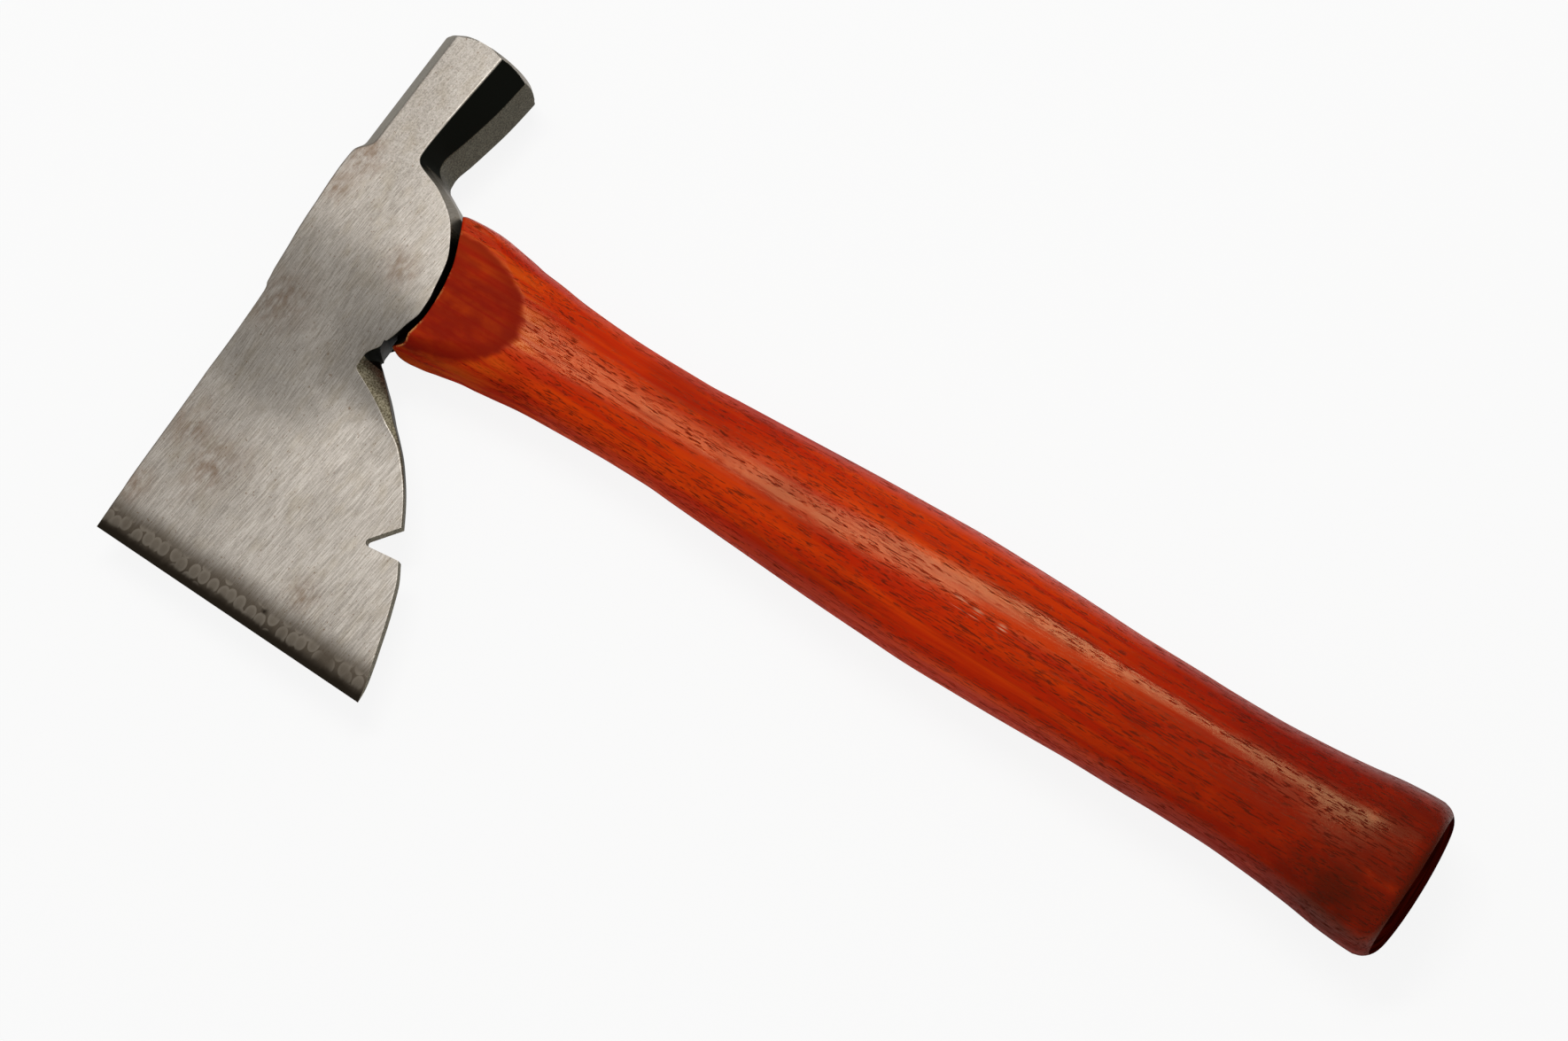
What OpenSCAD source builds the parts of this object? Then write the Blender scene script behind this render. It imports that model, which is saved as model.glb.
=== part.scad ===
// Carpenter's half hatchet: one forged head with a hammer poll and a nail notch, on a straight
// wooden handle whose tenon is spread in the eye by a wooden wedge and two barbed steel wedges.
// It lies on its side: +X runs from the head's top to the butt, +Y towards the poll, +Z up.
// Below, "drop" is a distance down the handle from the flat top of the head, "reach" is a
// distance from the eye's centre line towards the edge or the poll.

/* [Eye block] */
// Thickness of the eye block and of the poll
head_thickness = 24; // [20:0.5:32]
// Thickness of each cheek beside the eye, at the top of the head
cheek_wall = 2.5; // [2:0.1:4]
// Length of the eye along the head, at its lower end
eye_length = 35; // [30:0.5:42]
// How much longer the eye is at the top than at its lower end
eye_length_taper = 3; // [1:0.5:5]
// How much wider the eye is at the top than at its lower end
eye_width_taper = 2; // [1:0.25:3]
// Drop of the round lobes in which the cheeks end over the handle
lobe_drop = 43; // [38:1:52]
// Radius of the lobes
lobe_radius = 32; // [28:1:38]
// How far the lobes' centre sits from the eye's centre, towards the blade
lobe_offset = 9.5; // [6:0.5:14]
// Draft of the eye block's forged walls, in degrees
forging_draft = 10; // [2:1:14]
// How far the head's ground top leans towards the poll, in degrees
top_tilt = 3; // [0:0.5:5]

/* [Blade] */
// Length of the cutting edge
edge_length = 88.5; // [73:0.5:110]
// Reach of the cutting edge
edge_reach = 102; // [90:1:125]
// Width of the flat left on the cutting edge
edge_land = 0.3; // [0.2:0.1:1]
// Width of the bevel ground on each side of the edge
bevel_width = 6; // [3:0.5:10]
// Thickness of the blade where the bevel starts
bevel_thickness = 1.6; // [1:0.1:2.5]
// Reach at which the blade's forged top rises from the eye block
step_reach = 22; // [18:0.5:26]
// How far the blade's top stands above the head's top at that step
step_rise = 2; // [0.5:0.1:4]
// Reach at which the flat cheeks end
cheek_reach = 16; // [12:0.5:20]
// Slope of the cheeks down to the blade, in degrees
cheek_slope = 17.7; // [12:0.1:22]
// Reach at which the slope turns into the hollow
hollow_start = 38; // [32:1:42]
// Reach at which the hollow ends
hollow_end = 60; // [54:1:66]
// Thickness of the blade at the end of the hollow
blade_thickness = 3.4; // [2.6:0.1:6]
// Radius of the beard, the curved flank between the lobes and the notch
beard_radius = 100; // [80:1:140]
// Slope of the blade's forged flanks, in degrees
flank_slope = 34; // [10:1:40]
// Drop of the beard's root beside the lobes
beard_drop = 39; // [34:0.5:42]
// Reach of the beard's root
beard_reach = 25.5; // [22:0.5:28]
// Radius of the heel's curve between the notch and the edge
heel_radius = 118; // [80:1:200]

/* [Nail notch] */
// Distance from the cutting edge to the notch's straight side
notch_from_edge = 35; // [25:0.5:40]
// Depth of the notch along its straight side
notch_depth = 9.5; // [6:0.5:14]
// Opening of the notch at its mouth
notch_mouth = 7.2; // [5:0.1:9]
// Drop of the notch's upper lip
lip_drop = 72; // [66:0.5:78]
// How much further down the notch's lower lip lies
lip_step = 3.4; // [2:0.1:6]
// Width of the blunt bottom of the notch
notch_floor = 1.2; // [0.5:0.1:2]

/* [Poll] */
// Reach of the striking face
poll_reach = 61; // [50:1:75]
// Reach at which the octagonal poll leaves the eye block
poll_root_reach = 18; // [14:0.5:20]
// Drop of the poll's middle at its root
poll_root_drop = 8.8; // [8:0.1:11]
// Drop of the poll's middle at its face
poll_face_drop = 11.4; // [9:0.1:13]
// Width of the poll at its root
poll_root_width = 20.4; // [17:0.2:24]
// Width of the poll at its face
poll_face_width = 28.4; // [24:0.2:34]
// Width taken by each corner facet
poll_facet_width = 5.3; // [3:0.1:6.5]
// Height taken by each corner facet
poll_facet_height = 6; // [4:0.1:8]
// Radius of the flat part of the striking face
face_radius = 11; // [8:0.5:11.5]
// Angle of the turned rim round the striking face, in degrees
rim_angle = 38; // [20:1:50]

/* [Handle] */
// Length from the head's top to the butt
handle_length = 333.5; // [277:0.5:401]
// Width of the handle at its shoulder
shoulder_width = 41.4; // [38:0.2:46]
// Thickness of the handle at its shoulder before its flats are planed
shoulder_thickness = 27; // [24:0.5:30]
// How far the planed flats lie below the cheeks
flat_setback = 1; // [0.5:0.1:2]
// Drop at which the shoulder starts to narrow
shoulder_drop = 45; // [44:0.5:52]
// Drop of the neck
neck_drop = 106; // [90:1:125]
// Width of the neck
neck_width = 30.4; // [26:0.1:34]
// Thickness of the neck
neck_thickness = 20.5; // [17:0.5:21.5]
// Distance from the butt to the swell of the grip
swell_from_butt = 124; // [100:1:140]
// Width of the swell
swell_width = 37.2; // [34:0.1:44]
// Thickness of the swell
swell_thickness = 27; // [23:0.5:32]
// Distance from the butt to the waist of the grip
waist_from_butt = 57; // [40:1:70]
// Width of the waist
waist_width = 34.6; // [31:0.1:40]
// Thickness of the waist
waist_thickness = 25.5; // [22:0.5:30]
// Length of the straight band at the butt
butt_band = 11; // [6:0.5:15]
// Width of the butt
butt_width = 41.2; // [38:0.2:48]
// Thickness of the butt
butt_thickness = 30; // [26:0.5:34]
// Radius of the butt's rounded rim
butt_round = 4.5; // [1:0.25:6]

/* [Wedges and fits] */
// How far the tenon stands above the head's top
tenon_proud = 1.2; // [0:0.1:3]
// Gap between the tenon and the eye
tenon_clearance = 0.1; // [0.05:0.05:0.3]
// Gap between the handle's shoulder and the head
shoulder_gap = 0.3; // [0.1:0.05:1]
// Drop at which the handle's shoulder meets the head on the blade side
tongue_drop = 38.5; // [35:0.5:41]
// Depth of the wooden wedge
wood_wedge_depth = 30; // [22:1:36]
// Thickness of the wooden wedge at its top
wood_wedge_top = 4; // [3:0.1:6]
// Thickness of the wooden wedge at its tip
wood_wedge_tip = 1; // [0.6:0.1:2]
// Depth of the steel wedges
steel_wedge_depth = 17; // [12:0.5:22]
// Width of the steel wedges across the eye
steel_wedge_width = 12; // [8:0.5:14]
// Thickness of the steel wedges at their top
steel_wedge_top = 2.2; // [1.6:0.1:3]
// Thickness of the steel wedges at their tip
steel_wedge_tip = 0.6; // [0.4:0.1:1]
// Distance of each steel wedge from the eye's centre
steel_wedge_reach = 9; // [6:0.5:11]
// Height of the barbs on the steel wedges
barb_height = 0.3; // [0.2:0.05:0.4]
// Gap round the wedges in their slots
wedge_clearance = 0.05; // [0.02:0.01:0.1]

/* [Hidden] */
$fn = 96;

// How fast the poll's upper side rises, and how far it stands above the head's top at the rim's cut
poll_rise_face = poll_face_width / 2 - poll_face_drop;
poll_rise_root = poll_root_width / 2 - poll_root_drop;
poll_flare = (poll_rise_face - poll_rise_root) / (poll_reach - poll_root_reach);
rim_cut = (poll_face_width / 2 - face_radius) / (1 / tan(rim_angle) + poll_flare);
poll_rise = poll_rise_face - poll_flare * rim_cut;

// Half thicknesses, and the row frame's origin under the middle of the bounding box
head_half = head_thickness / 2;
tenon_rise = tenon_proud + (eye_length + eye_length_taper) / 2 * tan(top_tilt);
row_x = (handle_length - max(poll_rise, step_rise, tenon_rise)) / 2;
row_y = (poll_reach - edge_reach) / 2;
row_z = max(head_thickness, butt_thickness, swell_thickness) / 2;

// The eye's width follows the cheeks that are left beside it
eye_top_width = head_thickness - 2 * cheek_wall;
eye_low_width = eye_top_width - eye_width_taper;

// The lobes' centre, and their radius at the parting line in the middle of the thickness
lobe_centre = [lobe_drop - lobe_radius, -lobe_offset];
lobe_parting = lobe_radius + head_half * tan(forging_draft);

// The notch's corners and the heel
notch_y = -(edge_reach - notch_from_edge);
lower_lip = [lip_drop + lip_step, notch_y];
upper_lip = [lip_drop, notch_y + notch_mouth];
notch_apex = [lower_lip.x - notch_depth, notch_y];
notch_corner = notch_apex + [-notch_floor, notch_floor];
toe = [0, -edge_reach];
heel = [edge_length, -edge_reach];
beard_root = [beard_drop, -beard_reach];

// Amounts by which a cut runs past the faces it opens
past = 5;
far_past = 60;
split_y = (lower_lip.y + upper_lip.y) / 2;

// The handle's stations along its length
swell_drop = handle_length - swell_from_butt;
waist_drop = handle_length - waist_from_butt;
butt_drop = handle_length - butt_band;
loft_top = lobe_drop / 2;
loft_stations = 36;
round_stations = 5;
ring_points = 36;
// How fast width and thickness fall from the shoulder, rise to the swell and flare to the butt
width_fall = 1.75;
thickness_fall = 3;
swell_rise = 1.5;
butt_flare = 1.6;
// The squareness of the handle's section at the shoulder and along the grip: 2 is an ellipse
shoulder_squareness = 3;
grip_squareness = 2.4;
// Barbs on each side of a steel wedge
barbs = 5;

flat_half = head_half - flat_setback;

function lerp(a, b, t) = a + (b - a) * t;

// Centre of the circle of radius r through p and q, on the right of the way from p to q
function arc_centre(p, q, r) =
    let (way = q - p, half = norm(way) / 2, side = [way.y, -way.x] / norm(way))
    (p + q) / 2 + side * sqrt(r * r - half * half);

// Size of the handle at a drop, eased between its values at shoulder, neck, swell, waist and butt
function handle_size(x, shoulder, neck, swell, waist, butt, fall) =
    x < shoulder_drop ? shoulder :
    x < neck_drop ? lerp(neck, shoulder, pow((neck_drop - x) / (neck_drop - shoulder_drop), fall)) :
    x < swell_drop ? lerp(neck, swell, pow(sin(90 * (x - neck_drop) / (swell_drop - neck_drop)), swell_rise)) :
    x < waist_drop ? lerp(swell, waist, (1 - cos(180 * (x - swell_drop) / (waist_drop - swell_drop))) / 2) :
    x < butt_drop ? lerp(waist, butt, pow((x - waist_drop) / (butt_drop - waist_drop), butt_flare)) :
    butt;

function handle_width(x) =
    handle_size(x, shoulder_width, neck_width, swell_width, waist_width, butt_width, width_fall);

function handle_thickness(x) =
    handle_size(x, shoulder_thickness, neck_thickness, swell_thickness, waist_thickness,
        butt_thickness, thickness_fall);

function squareness(x) =
    lerp(shoulder_squareness, grip_squareness,
        min(1, max(0, (x - shoulder_drop) / (neck_drop - shoulder_drop))));

// One point of a superellipse with half axes a and b
function section_point(a, b, power, angle) = [
    a * sign(cos(angle)) * pow(abs(cos(angle)), 2 / power),
    b * sign(sin(angle)) * pow(abs(sin(angle)), 2 / power)
];

// One ring of the handle's loft, drawn in by inset
function handle_ring(x, inset) = [
    for (i = [0:ring_points - 1])
        let (p = section_point(handle_width(x) / 2 - inset, handle_thickness(x) / 2 - inset,
            squareness(x), 360 * i / ring_points))
        [x, p.x, p.y]
];

// Half the wooden wedge's thickness, and half a steel wedge's, at a depth below its top
function wood_half(depth) = lerp(wood_wedge_top, wood_wedge_tip, depth / wood_wedge_depth) / 2;
function steel_half(depth) = lerp(steel_wedge_top, steel_wedge_tip, depth / steel_wedge_depth) / 2;

// Drop of the tenon's trimmed top at a reach
function trim_drop(reach) = -tenon_proud - reach * tan(top_tilt);

// Moves a piece from the head's own axes to the row frame
module place() {
    translate([-row_x, -row_y, row_z]) children();
}

// The eye's tapered oval between two drops, drawn in by inset on every side
module eye_oval(from, to, inset) {
    hull() {
        for (x = [from, to]) {
            top_share = 1 - x / lobe_drop;
            width = eye_low_width + eye_width_taper * top_share - 2 * inset;
            length = eye_length + eye_length_taper * top_share - 2 * inset;
            for (side = [-1, 1])
                translate([x, side * (length - width) / 2, 0])
                    rotate([0, 90, 0])
                        cylinder(d = width, h = 0.01, $fn = 32);
        }
    }
}

// A double cone whose radius falls from the parting line to both cheeks
module drafted_disc(centre, parting, slope, half) {
    for (side = [0, 1])
        translate([centre.x, centre.y, 0])
            mirror([0, 0, side])
                cylinder(r1 = parting, r2 = parting - half * tan(slope), h = half);
}

// All that lies above the head's ground top, raised by rise
module above_top(rise) {
    translate([-rise, 0, 0])
        rotate([0, 0, top_tilt])
            translate([-2 * far_past, -2 * far_past, -far_past])
                cube([2 * far_past, 4 * far_past, 2 * far_past]);
}

// The eye block's lobed plan, grown by grow on its drafted wall
module lobed_block(grow) {
    difference() {
        drafted_disc(lobe_centre, lobe_parting + grow, forging_draft, head_half);
        above_top(grow);
    }
}

// The room under the blade's forged top: a ridge along its middle, sloping to both sides
module blade_roof() {
    ridge_top = [-step_rise, -step_reach];
    lean = atan2(step_rise, edge_reach - step_reach);
    inset = head_half * tan(flank_slope);
    deep = edge_length + far_past;
    translate([ridge_top.x, ridge_top.y, 0])
        rotate([90, 0, lean])
            translate([0, 0, -past])
                linear_extrude(height = edge_reach)
                    polygon([
                        [0, 0], [inset, head_half], [deep, head_half],
                        [deep, -head_half], [inset, -head_half]
                    ]);
}

// The blade between the eye block and the notch, bounded by the beard's sloping flank
module upper_blade() {
    centre = arc_centre(beard_root, upper_lip, beard_radius);
    intersection() {
        drafted_disc(centre, beard_radius, flank_slope, head_half);
        linear_extrude(height = head_thickness, center = true)
            polygon([
                [-past, -step_reach], [-past, split_y],
                [edge_length, split_y], [edge_length, -step_reach]
            ]);
    }
}

// The blade between the notch and the cutting edge, with the heel's curve
module lower_blade() {
    centre = arc_centre(lower_lip, heel, heel_radius);
    linear_extrude(height = head_thickness, center = true)
        intersection() {
            polygon([
                [-past, -edge_reach], [-past, split_y],
                [lower_lip.x, split_y], [edge_length + past, lower_lip.y],
                [edge_length + past, -edge_reach]
            ]);
            translate(centre) circle(r = heel_radius, $fn = 360);
        }
}

// Half of the head's thickness profile: flat cheek, slope, hollow, thin blade and ground bevel
module half_profile() {
    slope_end = [-hollow_start, head_half - (hollow_start - cheek_reach) * tan(cheek_slope)];
    hollow_tip = [-hollow_end, blade_thickness / 2];
    chord = hollow_tip - slope_end;
    outward = [-sin(cheek_slope), cos(cheek_slope)];
    hollow_radius = chord * chord / (2 * (outward * chord));
    difference() {
        polygon([
            [poll_reach, 0],
            [poll_reach, head_half],
            [-cheek_reach, head_half],
            slope_end,
            hollow_tip,
            [-edge_reach + bevel_width, bevel_thickness / 2],
            [-edge_reach, edge_land / 2],
            [-edge_reach, 0]
        ]);
        translate(slope_end + outward * hollow_radius) circle(r = hollow_radius, $fn = 360);
    }
}

// The thickness profile carried along the whole edge
module thickness_envelope() {
    translate([-past, 0, 0])
        rotate([90, 0, 90])
            linear_extrude(height = edge_length + far_past)
                for (side = [0, 1]) mirror([0, side]) half_profile();
}

// All that lies inside one flared side of the poll (1 below, -1 above) and its two corner facets
module poll_side(side) {
    start = [poll_root_drop + side * poll_root_width / 2, poll_root_reach];
    way = [poll_face_drop + side * poll_face_width / 2, poll_reach] - start;
    facet = -side * poll_facet_width;
    deep = -side * 2 * poll_face_width;
    low = head_half - poll_facet_height;
    translate([start.x, start.y, 0])
        rotate([-90, 0, -atan2(way.x, way.y)])
            linear_extrude(height = norm(way) + past)
                polygon([
                    [0, low], [facet, head_half], [deep, head_half],
                    [deep, -head_half], [facet, -head_half], [0, -low]
                ]);
}

// The flared octagonal poll with its turned rim and flat striking face
module poll() {
    rim_depth = (poll_face_width / 2 - face_radius) * tan(rim_angle) + 1;
    rim_radius = face_radius + rim_depth / tan(rim_angle);
    intersection() {
        poll_side(1);
        poll_side(-1);
        translate([poll_face_drop, 0, 0])
            rotate([-90, 0, 0])
                union() {
                    cylinder(r = rim_radius, h = poll_reach - rim_depth);
                    translate([0, 0, poll_reach - rim_depth])
                        cylinder(r1 = rim_radius, r2 = face_radius, h = rim_depth);
                }
    }
}

// The nail notch: one side square to the blade's heel, the other leaning back to the upper lip
module nail_notch() {
    lean = upper_lip - notch_corner;
    linear_extrude(height = head_thickness, center = true)
        polygon([
            notch_apex,
            [edge_length + past, notch_y],
            upper_lip + [edge_length + past - lip_drop, lean.y],
            upper_lip + lean,
            notch_corner
        ]);
}

// The throat between the lobes on the blade side, which the handle's tongue fills
module throat(gap) {
    half = eye_low_width / 2 - gap;
    translate([tongue_drop + gap, -beard_reach, -half])
        cube([lobe_drop + past - tongue_drop - gap, beard_reach, 2 * half]);
}

module head() {
    color("#8d8b86") place() difference() {
        union() {
            intersection() {
                union() {
                    lobed_block(0);
                    intersection() {
                        blade_roof();
                        union() {
                            upper_blade();
                            lower_blade();
                        }
                    }
                }
                thickness_envelope();
            }
            poll();
        }
        eye_oval(-past, lobe_drop + past, 0);
        throat(0);
        nail_notch();
    }
}

// The wooden wedge's tapered sides, grown by grow for its slot, and run on past the tenon's top
module wood_taper(grow) {
    tip = wood_wedge_depth + grow;
    translate([-tenon_proud, 0, 0])
        rotate([90, 0, 0])
            linear_extrude(height = 2 * eye_length, center = true)
                polygon([
                    [-past, wood_half(-past) + grow], [tip, wood_half(tip) + grow],
                    [tip, -wood_half(tip) - grow], [-past, -wood_half(-past) - grow]
                ]);
}

// The slots for the steel wedges, which clear the tips of their barbs
module steel_slots() {
    tip = steel_wedge_depth + wedge_clearance;
    room = barb_height + wedge_clearance;
    for (reach = [-steel_wedge_reach, steel_wedge_reach])
        translate([trim_drop(reach), reach, 0])
            linear_extrude(height = steel_wedge_width + 2 * wedge_clearance, center = true)
                polygon([
                    [-past, steel_half(-past) + room], [tip, steel_half(tip) + room],
                    [tip, -steel_half(tip) - room], [-past, -steel_half(-past) - room]
                ]);
}

// A steel wedge with rows of barbs that point back up its taper
module steel_wedge(reach) {
    pitch = steel_wedge_depth / (barbs + 1);
    flank = [
        for (i = [1:barbs])
            let (x = i * pitch)
            each [[x, steel_half(x) + barb_height], [x, steel_half(x)]]
    ];
    top = [0, steel_wedge_top / 2];
    tip = [steel_wedge_depth, steel_wedge_tip / 2];
    upper = concat([top], flank, [tip]);
    lower = [for (i = [len(upper) - 1:-1:0]) [upper[i].x, -upper[i].y]];
    color("#6f706f") place()
        translate([trim_drop(reach), reach, 0])
            linear_extrude(height = steel_wedge_width, center = true)
                polygon(concat(upper, lower));
}

// The handle's turned body from inside the eye block to the butt, as one loft
module handle_loft() {
    straight_end = handle_length - butt_round;
    straight = [
        for (i = [0:loft_stations])
            handle_ring(lerp(loft_top, straight_end, i / loft_stations), 0)
    ];
    rounded = [
        for (i = [1:round_stations])
            let (turn = 90 * i / round_stations)
            handle_ring(straight_end + butt_round * sin(turn), butt_round * (1 - cos(turn)))
    ];
    rings = concat(straight, rounded);
    last = len(rings) - 1;
    sides = [
        for (k = [0:last - 1], i = [0:ring_points - 1])
            let (a = k * ring_points, b = a + ring_points, j = (i + 1) % ring_points)
            each [[a + i, b + i, a + j], [a + j, b + i, b + j]]
    ];
    first_cap = [for (i = [0:ring_points - 1]) i];
    last_cap = [for (i = [ring_points - 1:-1:0]) last * ring_points + i];
    polyhedron(points = [for (ring = rings) each ring], faces = concat([first_cap], sides, [last_cap]));
}

// The loft with its planed flats beside the lobes
module planed_loft() {
    difference() {
        handle_loft();
        for (side = [0, 1])
            mirror([0, 0, side])
                translate([0, -far_past, flat_half])
                    cube([neck_drop, 2 * far_past, past]);
    }
}

module handle() {
    color("#a83216") place() difference() {
        union() {
            difference() {
                planed_loft();
                difference() {
                    lobed_block(shoulder_gap);
                    throat(shoulder_gap);
                }
            }
            eye_oval(-past, lobe_drop + past, tenon_clearance);
        }
        above_top(tenon_proud);
        wood_taper(wedge_clearance);
        steel_slots();
    }
}

module wooden_wedge() {
    color("#d2a671") place() difference() {
        intersection() {
            wood_taper(0);
            eye_oval(-past, lobe_drop, tenon_clearance);
        }
        above_top(tenon_proud);
        steel_slots();
    }
}

module steel_wedge_front() {
    steel_wedge(-steel_wedge_reach);
}

module steel_wedge_rear() {
    steel_wedge(steel_wedge_reach);
}

head();
handle();
wooden_wedge();
steel_wedge_front();
steel_wedge_rear();
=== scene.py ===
"""Looks of a carpenter's half hatchet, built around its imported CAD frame.

Shapes are worked out in millimetres on the head's own axes and put into the frame, in metres, at
the last step. Drop runs down the handle from the middle of the head's top, reach runs across the
handle and is positive towards the poll, and rise is the height over the head's middle plane.
"""

import logging
import math
from collections.abc import Sequence
from dataclasses import dataclass
from enum import Enum
from functools import partialmethod, reduce
from typing import Any

import bmesh
import bpy
import numpy as np
from bpy.types import Material, Mesh, Node, NodeSocket, NodeTree, Object
from mathutils import Matrix, Vector

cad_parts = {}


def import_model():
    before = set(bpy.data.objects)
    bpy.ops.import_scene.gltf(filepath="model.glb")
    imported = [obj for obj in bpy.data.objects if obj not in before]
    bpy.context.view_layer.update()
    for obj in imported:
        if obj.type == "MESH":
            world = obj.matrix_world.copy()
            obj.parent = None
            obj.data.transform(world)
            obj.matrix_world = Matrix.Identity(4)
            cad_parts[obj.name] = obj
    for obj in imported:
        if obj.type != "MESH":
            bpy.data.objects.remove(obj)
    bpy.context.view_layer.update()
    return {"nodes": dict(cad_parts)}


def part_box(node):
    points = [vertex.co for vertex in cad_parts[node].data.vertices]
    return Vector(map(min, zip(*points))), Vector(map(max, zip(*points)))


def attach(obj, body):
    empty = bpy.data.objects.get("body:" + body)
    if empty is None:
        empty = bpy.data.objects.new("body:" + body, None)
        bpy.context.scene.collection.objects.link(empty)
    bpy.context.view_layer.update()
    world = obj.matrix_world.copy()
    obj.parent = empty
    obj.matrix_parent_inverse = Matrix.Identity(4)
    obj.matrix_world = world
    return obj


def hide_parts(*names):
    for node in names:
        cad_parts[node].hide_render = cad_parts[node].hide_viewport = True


LOG = logging.getLogger("hatchet")
MM = 0.001
BODY = "root"
SHARP_ANGLE = math.radians(40)
WELD = 0.004 * MM  # points closer than this are one
ARC = 5  # points on a rounded corner
MOST_SIDE = 0.45  # the share of a side that a rounded corner can take
TINY = 1e-6
SPOT_ENDS = 1.3, 0.4  # where a spot ends and where it is full, in radii
SMOOTH = {"interpolation_type": "SMOOTHSTEP"}

Array = np.ndarray
Pair = tuple[float, float]
Triple = tuple[float, float, float]
Curve = tuple[Pair, ...]
Values = dict[str | int, Any]


class Slot(Enum):
    """The record's material slots that the new pieces take."""

    HEAD = "forged_steel"
    HANDLE = "stained_hickory"


# ---- curves and meshes


@dataclass(frozen=True)
class HeadAxes:
    """The head's own axes: where drop, reach and rise are zero, in the frame's millimetres.

    Args:
        drop: the frame's x at the head's top.
        reach: the frame's y at the middle of the eye.
        rise: the frame's z at the middle plane.
    """

    drop: float
    reach: float
    rise: float

    @classmethod
    def from_frame(cls, handle_end: float, face_reach: float) -> "HeadAxes":
        """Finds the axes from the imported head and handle.

        Args:
            handle_end: drop of the handle's end.
            face_reach: reach of the poll's face.

        Returns:
            The axes in the frame.
        """
        head_low, head_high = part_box("head")
        _, handle_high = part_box("handle")
        return cls(
            handle_high.x / MM - handle_end,
            head_high.y / MM - face_reach,
            (head_low.z + head_high.z) / (2 * MM),
        )

    @property
    def origin(self) -> Array:
        """The axes' zero point in the frame's millimetres."""
        return np.array((self.drop, self.reach, self.rise))

    def to_frame(self, points: Array) -> Array:
        """Turns points on the head's axes, in millimetres, into the frame's metres."""
        return (points + self.origin) * MM

    def from_metres(self, places: Array) -> Array:
        """Turns places in the frame's metres into millimetres on the head's axes."""
        return places / MM - self.origin


def eased(curve: Curve, at: Array) -> Array:
    """Reads a curve that a few points give, with a monotone cubic between them.

    The slope at a point is the weighted harmonic mean of the slopes on its two sides, or level
    where they differ in sign, so the curve never overshoots its points.

    Args:
        curve: (place, value) points, by place.
        at: places to read.

    Returns:
        The values there, with the end values beyond the ends.
    """
    place, value = np.array(curve, float).T
    step = np.diff(place)
    slope = np.diff(value) / step
    left, right = slope[:-1], slope[1:]
    near, far = 2 * step[1:] + step[:-1], step[1:] + 2 * step[:-1]
    same = left * right > 0
    safe_left, safe_right = np.where(same, left, 1), np.where(same, right, 1)
    mean = (near + far) / (near / safe_left + far / safe_right)
    tangent = np.concatenate(([slope[0]], np.where(same, mean, 0), [slope[-1]]))
    at = np.clip(at, place[0], place[-1])
    i = np.clip(np.searchsorted(place, at) - 1, 0, len(step) - 1)
    s = (at - place[i]) / step[i]
    return (
        value[i] * (1 + 2 * s) * (1 - s) ** 2
        + value[i + 1] * s**2 * (3 - 2 * s)
        + step[i] * s * (1 - s) * (tangent[i] * (1 - s) - tangent[i + 1] * s)
    )


def ramp(low: float, high: float, at: Array) -> Array:
    """Rises smoothly from 0 at low to 1 at high: 3 s squared less 2 s cubed."""
    s = np.clip((at - low) / (high - low), 0, 1)
    return s * s * (3 - 2 * s)


def spread(*runs: Triple) -> Array:
    """Lists a path's stations, without repeats, over stretches of (start, end, spacing)."""
    parts = [np.linspace(a, b, max(2, round((b - a) / gap) + 1)) for a, b, gap in runs]
    return np.unique(np.concatenate(parts).round(4))


def rounded_rings(corners: Array, radius: Array, sides: Sequence[int]) -> Array:
    """Turns polygons into rings with rounded corners.

    A corner is the quadratic curve (1-s)^2 A + 2 s (1-s) C + s^2 B, from A, a radius back along the
    side before the corner C, to B, a radius on along the side after it. Sides are straight between.

    Args:
        corners: (stations, corners, 2) places of the corners.
        radius: (stations,) how far a curve reaches along its sides, at most MOST_SIDE of the side.
        sides: number of points inside each side, from corner i to corner i + 1.

    Returns:
        (stations, points, 2) rings, in the corners' order, with side i's points after corner i's.
    """

    def along(way: Array) -> Array:
        """The point a radius from each corner along a way to another one."""
        length = np.maximum(np.linalg.norm(way, axis=2, keepdims=True), TINY)
        return corners + way * np.minimum(radius[:, None, None] / length, MOST_SIDE)

    start, end = (along(np.roll(corners, step, 1) - corners) for step in (1, -1))
    s = np.linspace(0, 1, ARC)[None, :, None]
    parts: list[Array] = []
    for i, count in enumerate(sides):
        a, c, b = start[:, i, None], corners[:, i, None], end[:, i, None]
        parts.append((1 - s) ** 2 * a + 2 * s * (1 - s) * c + s**2 * b)
        f = (np.arange(1, count + 1) / (count + 1))[None, :, None]
        onward = start[:, (i + 1) % len(sides), None]
        parts.append(b * (1 - f) + onward * f)
    return np.concatenate(parts, 1)


def side_slice(sides: Sequence[int], side: int) -> slice:
    """Finds a side's points in the rings that rounded_rings gives."""
    first = sum(sides[:side]) + ARC * (side + 1)
    return slice(first, first + sides[side])


def raised(rings: Array, rise: Array) -> Array:
    """Adds each ring's rise to its places over drop and reach."""
    tall = np.broadcast_to(rise[:, None, None], rings[..., :1].shape)
    return np.concatenate((rings, tall), 2)


def placed(name: str, data: bpy.types.ID) -> Object:
    """Puts a mesh, a camera or a lamp into the scene."""
    bpy.context.scene.collection.objects.link(thing := bpy.data.objects.new(name, data))
    return thing


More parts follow.
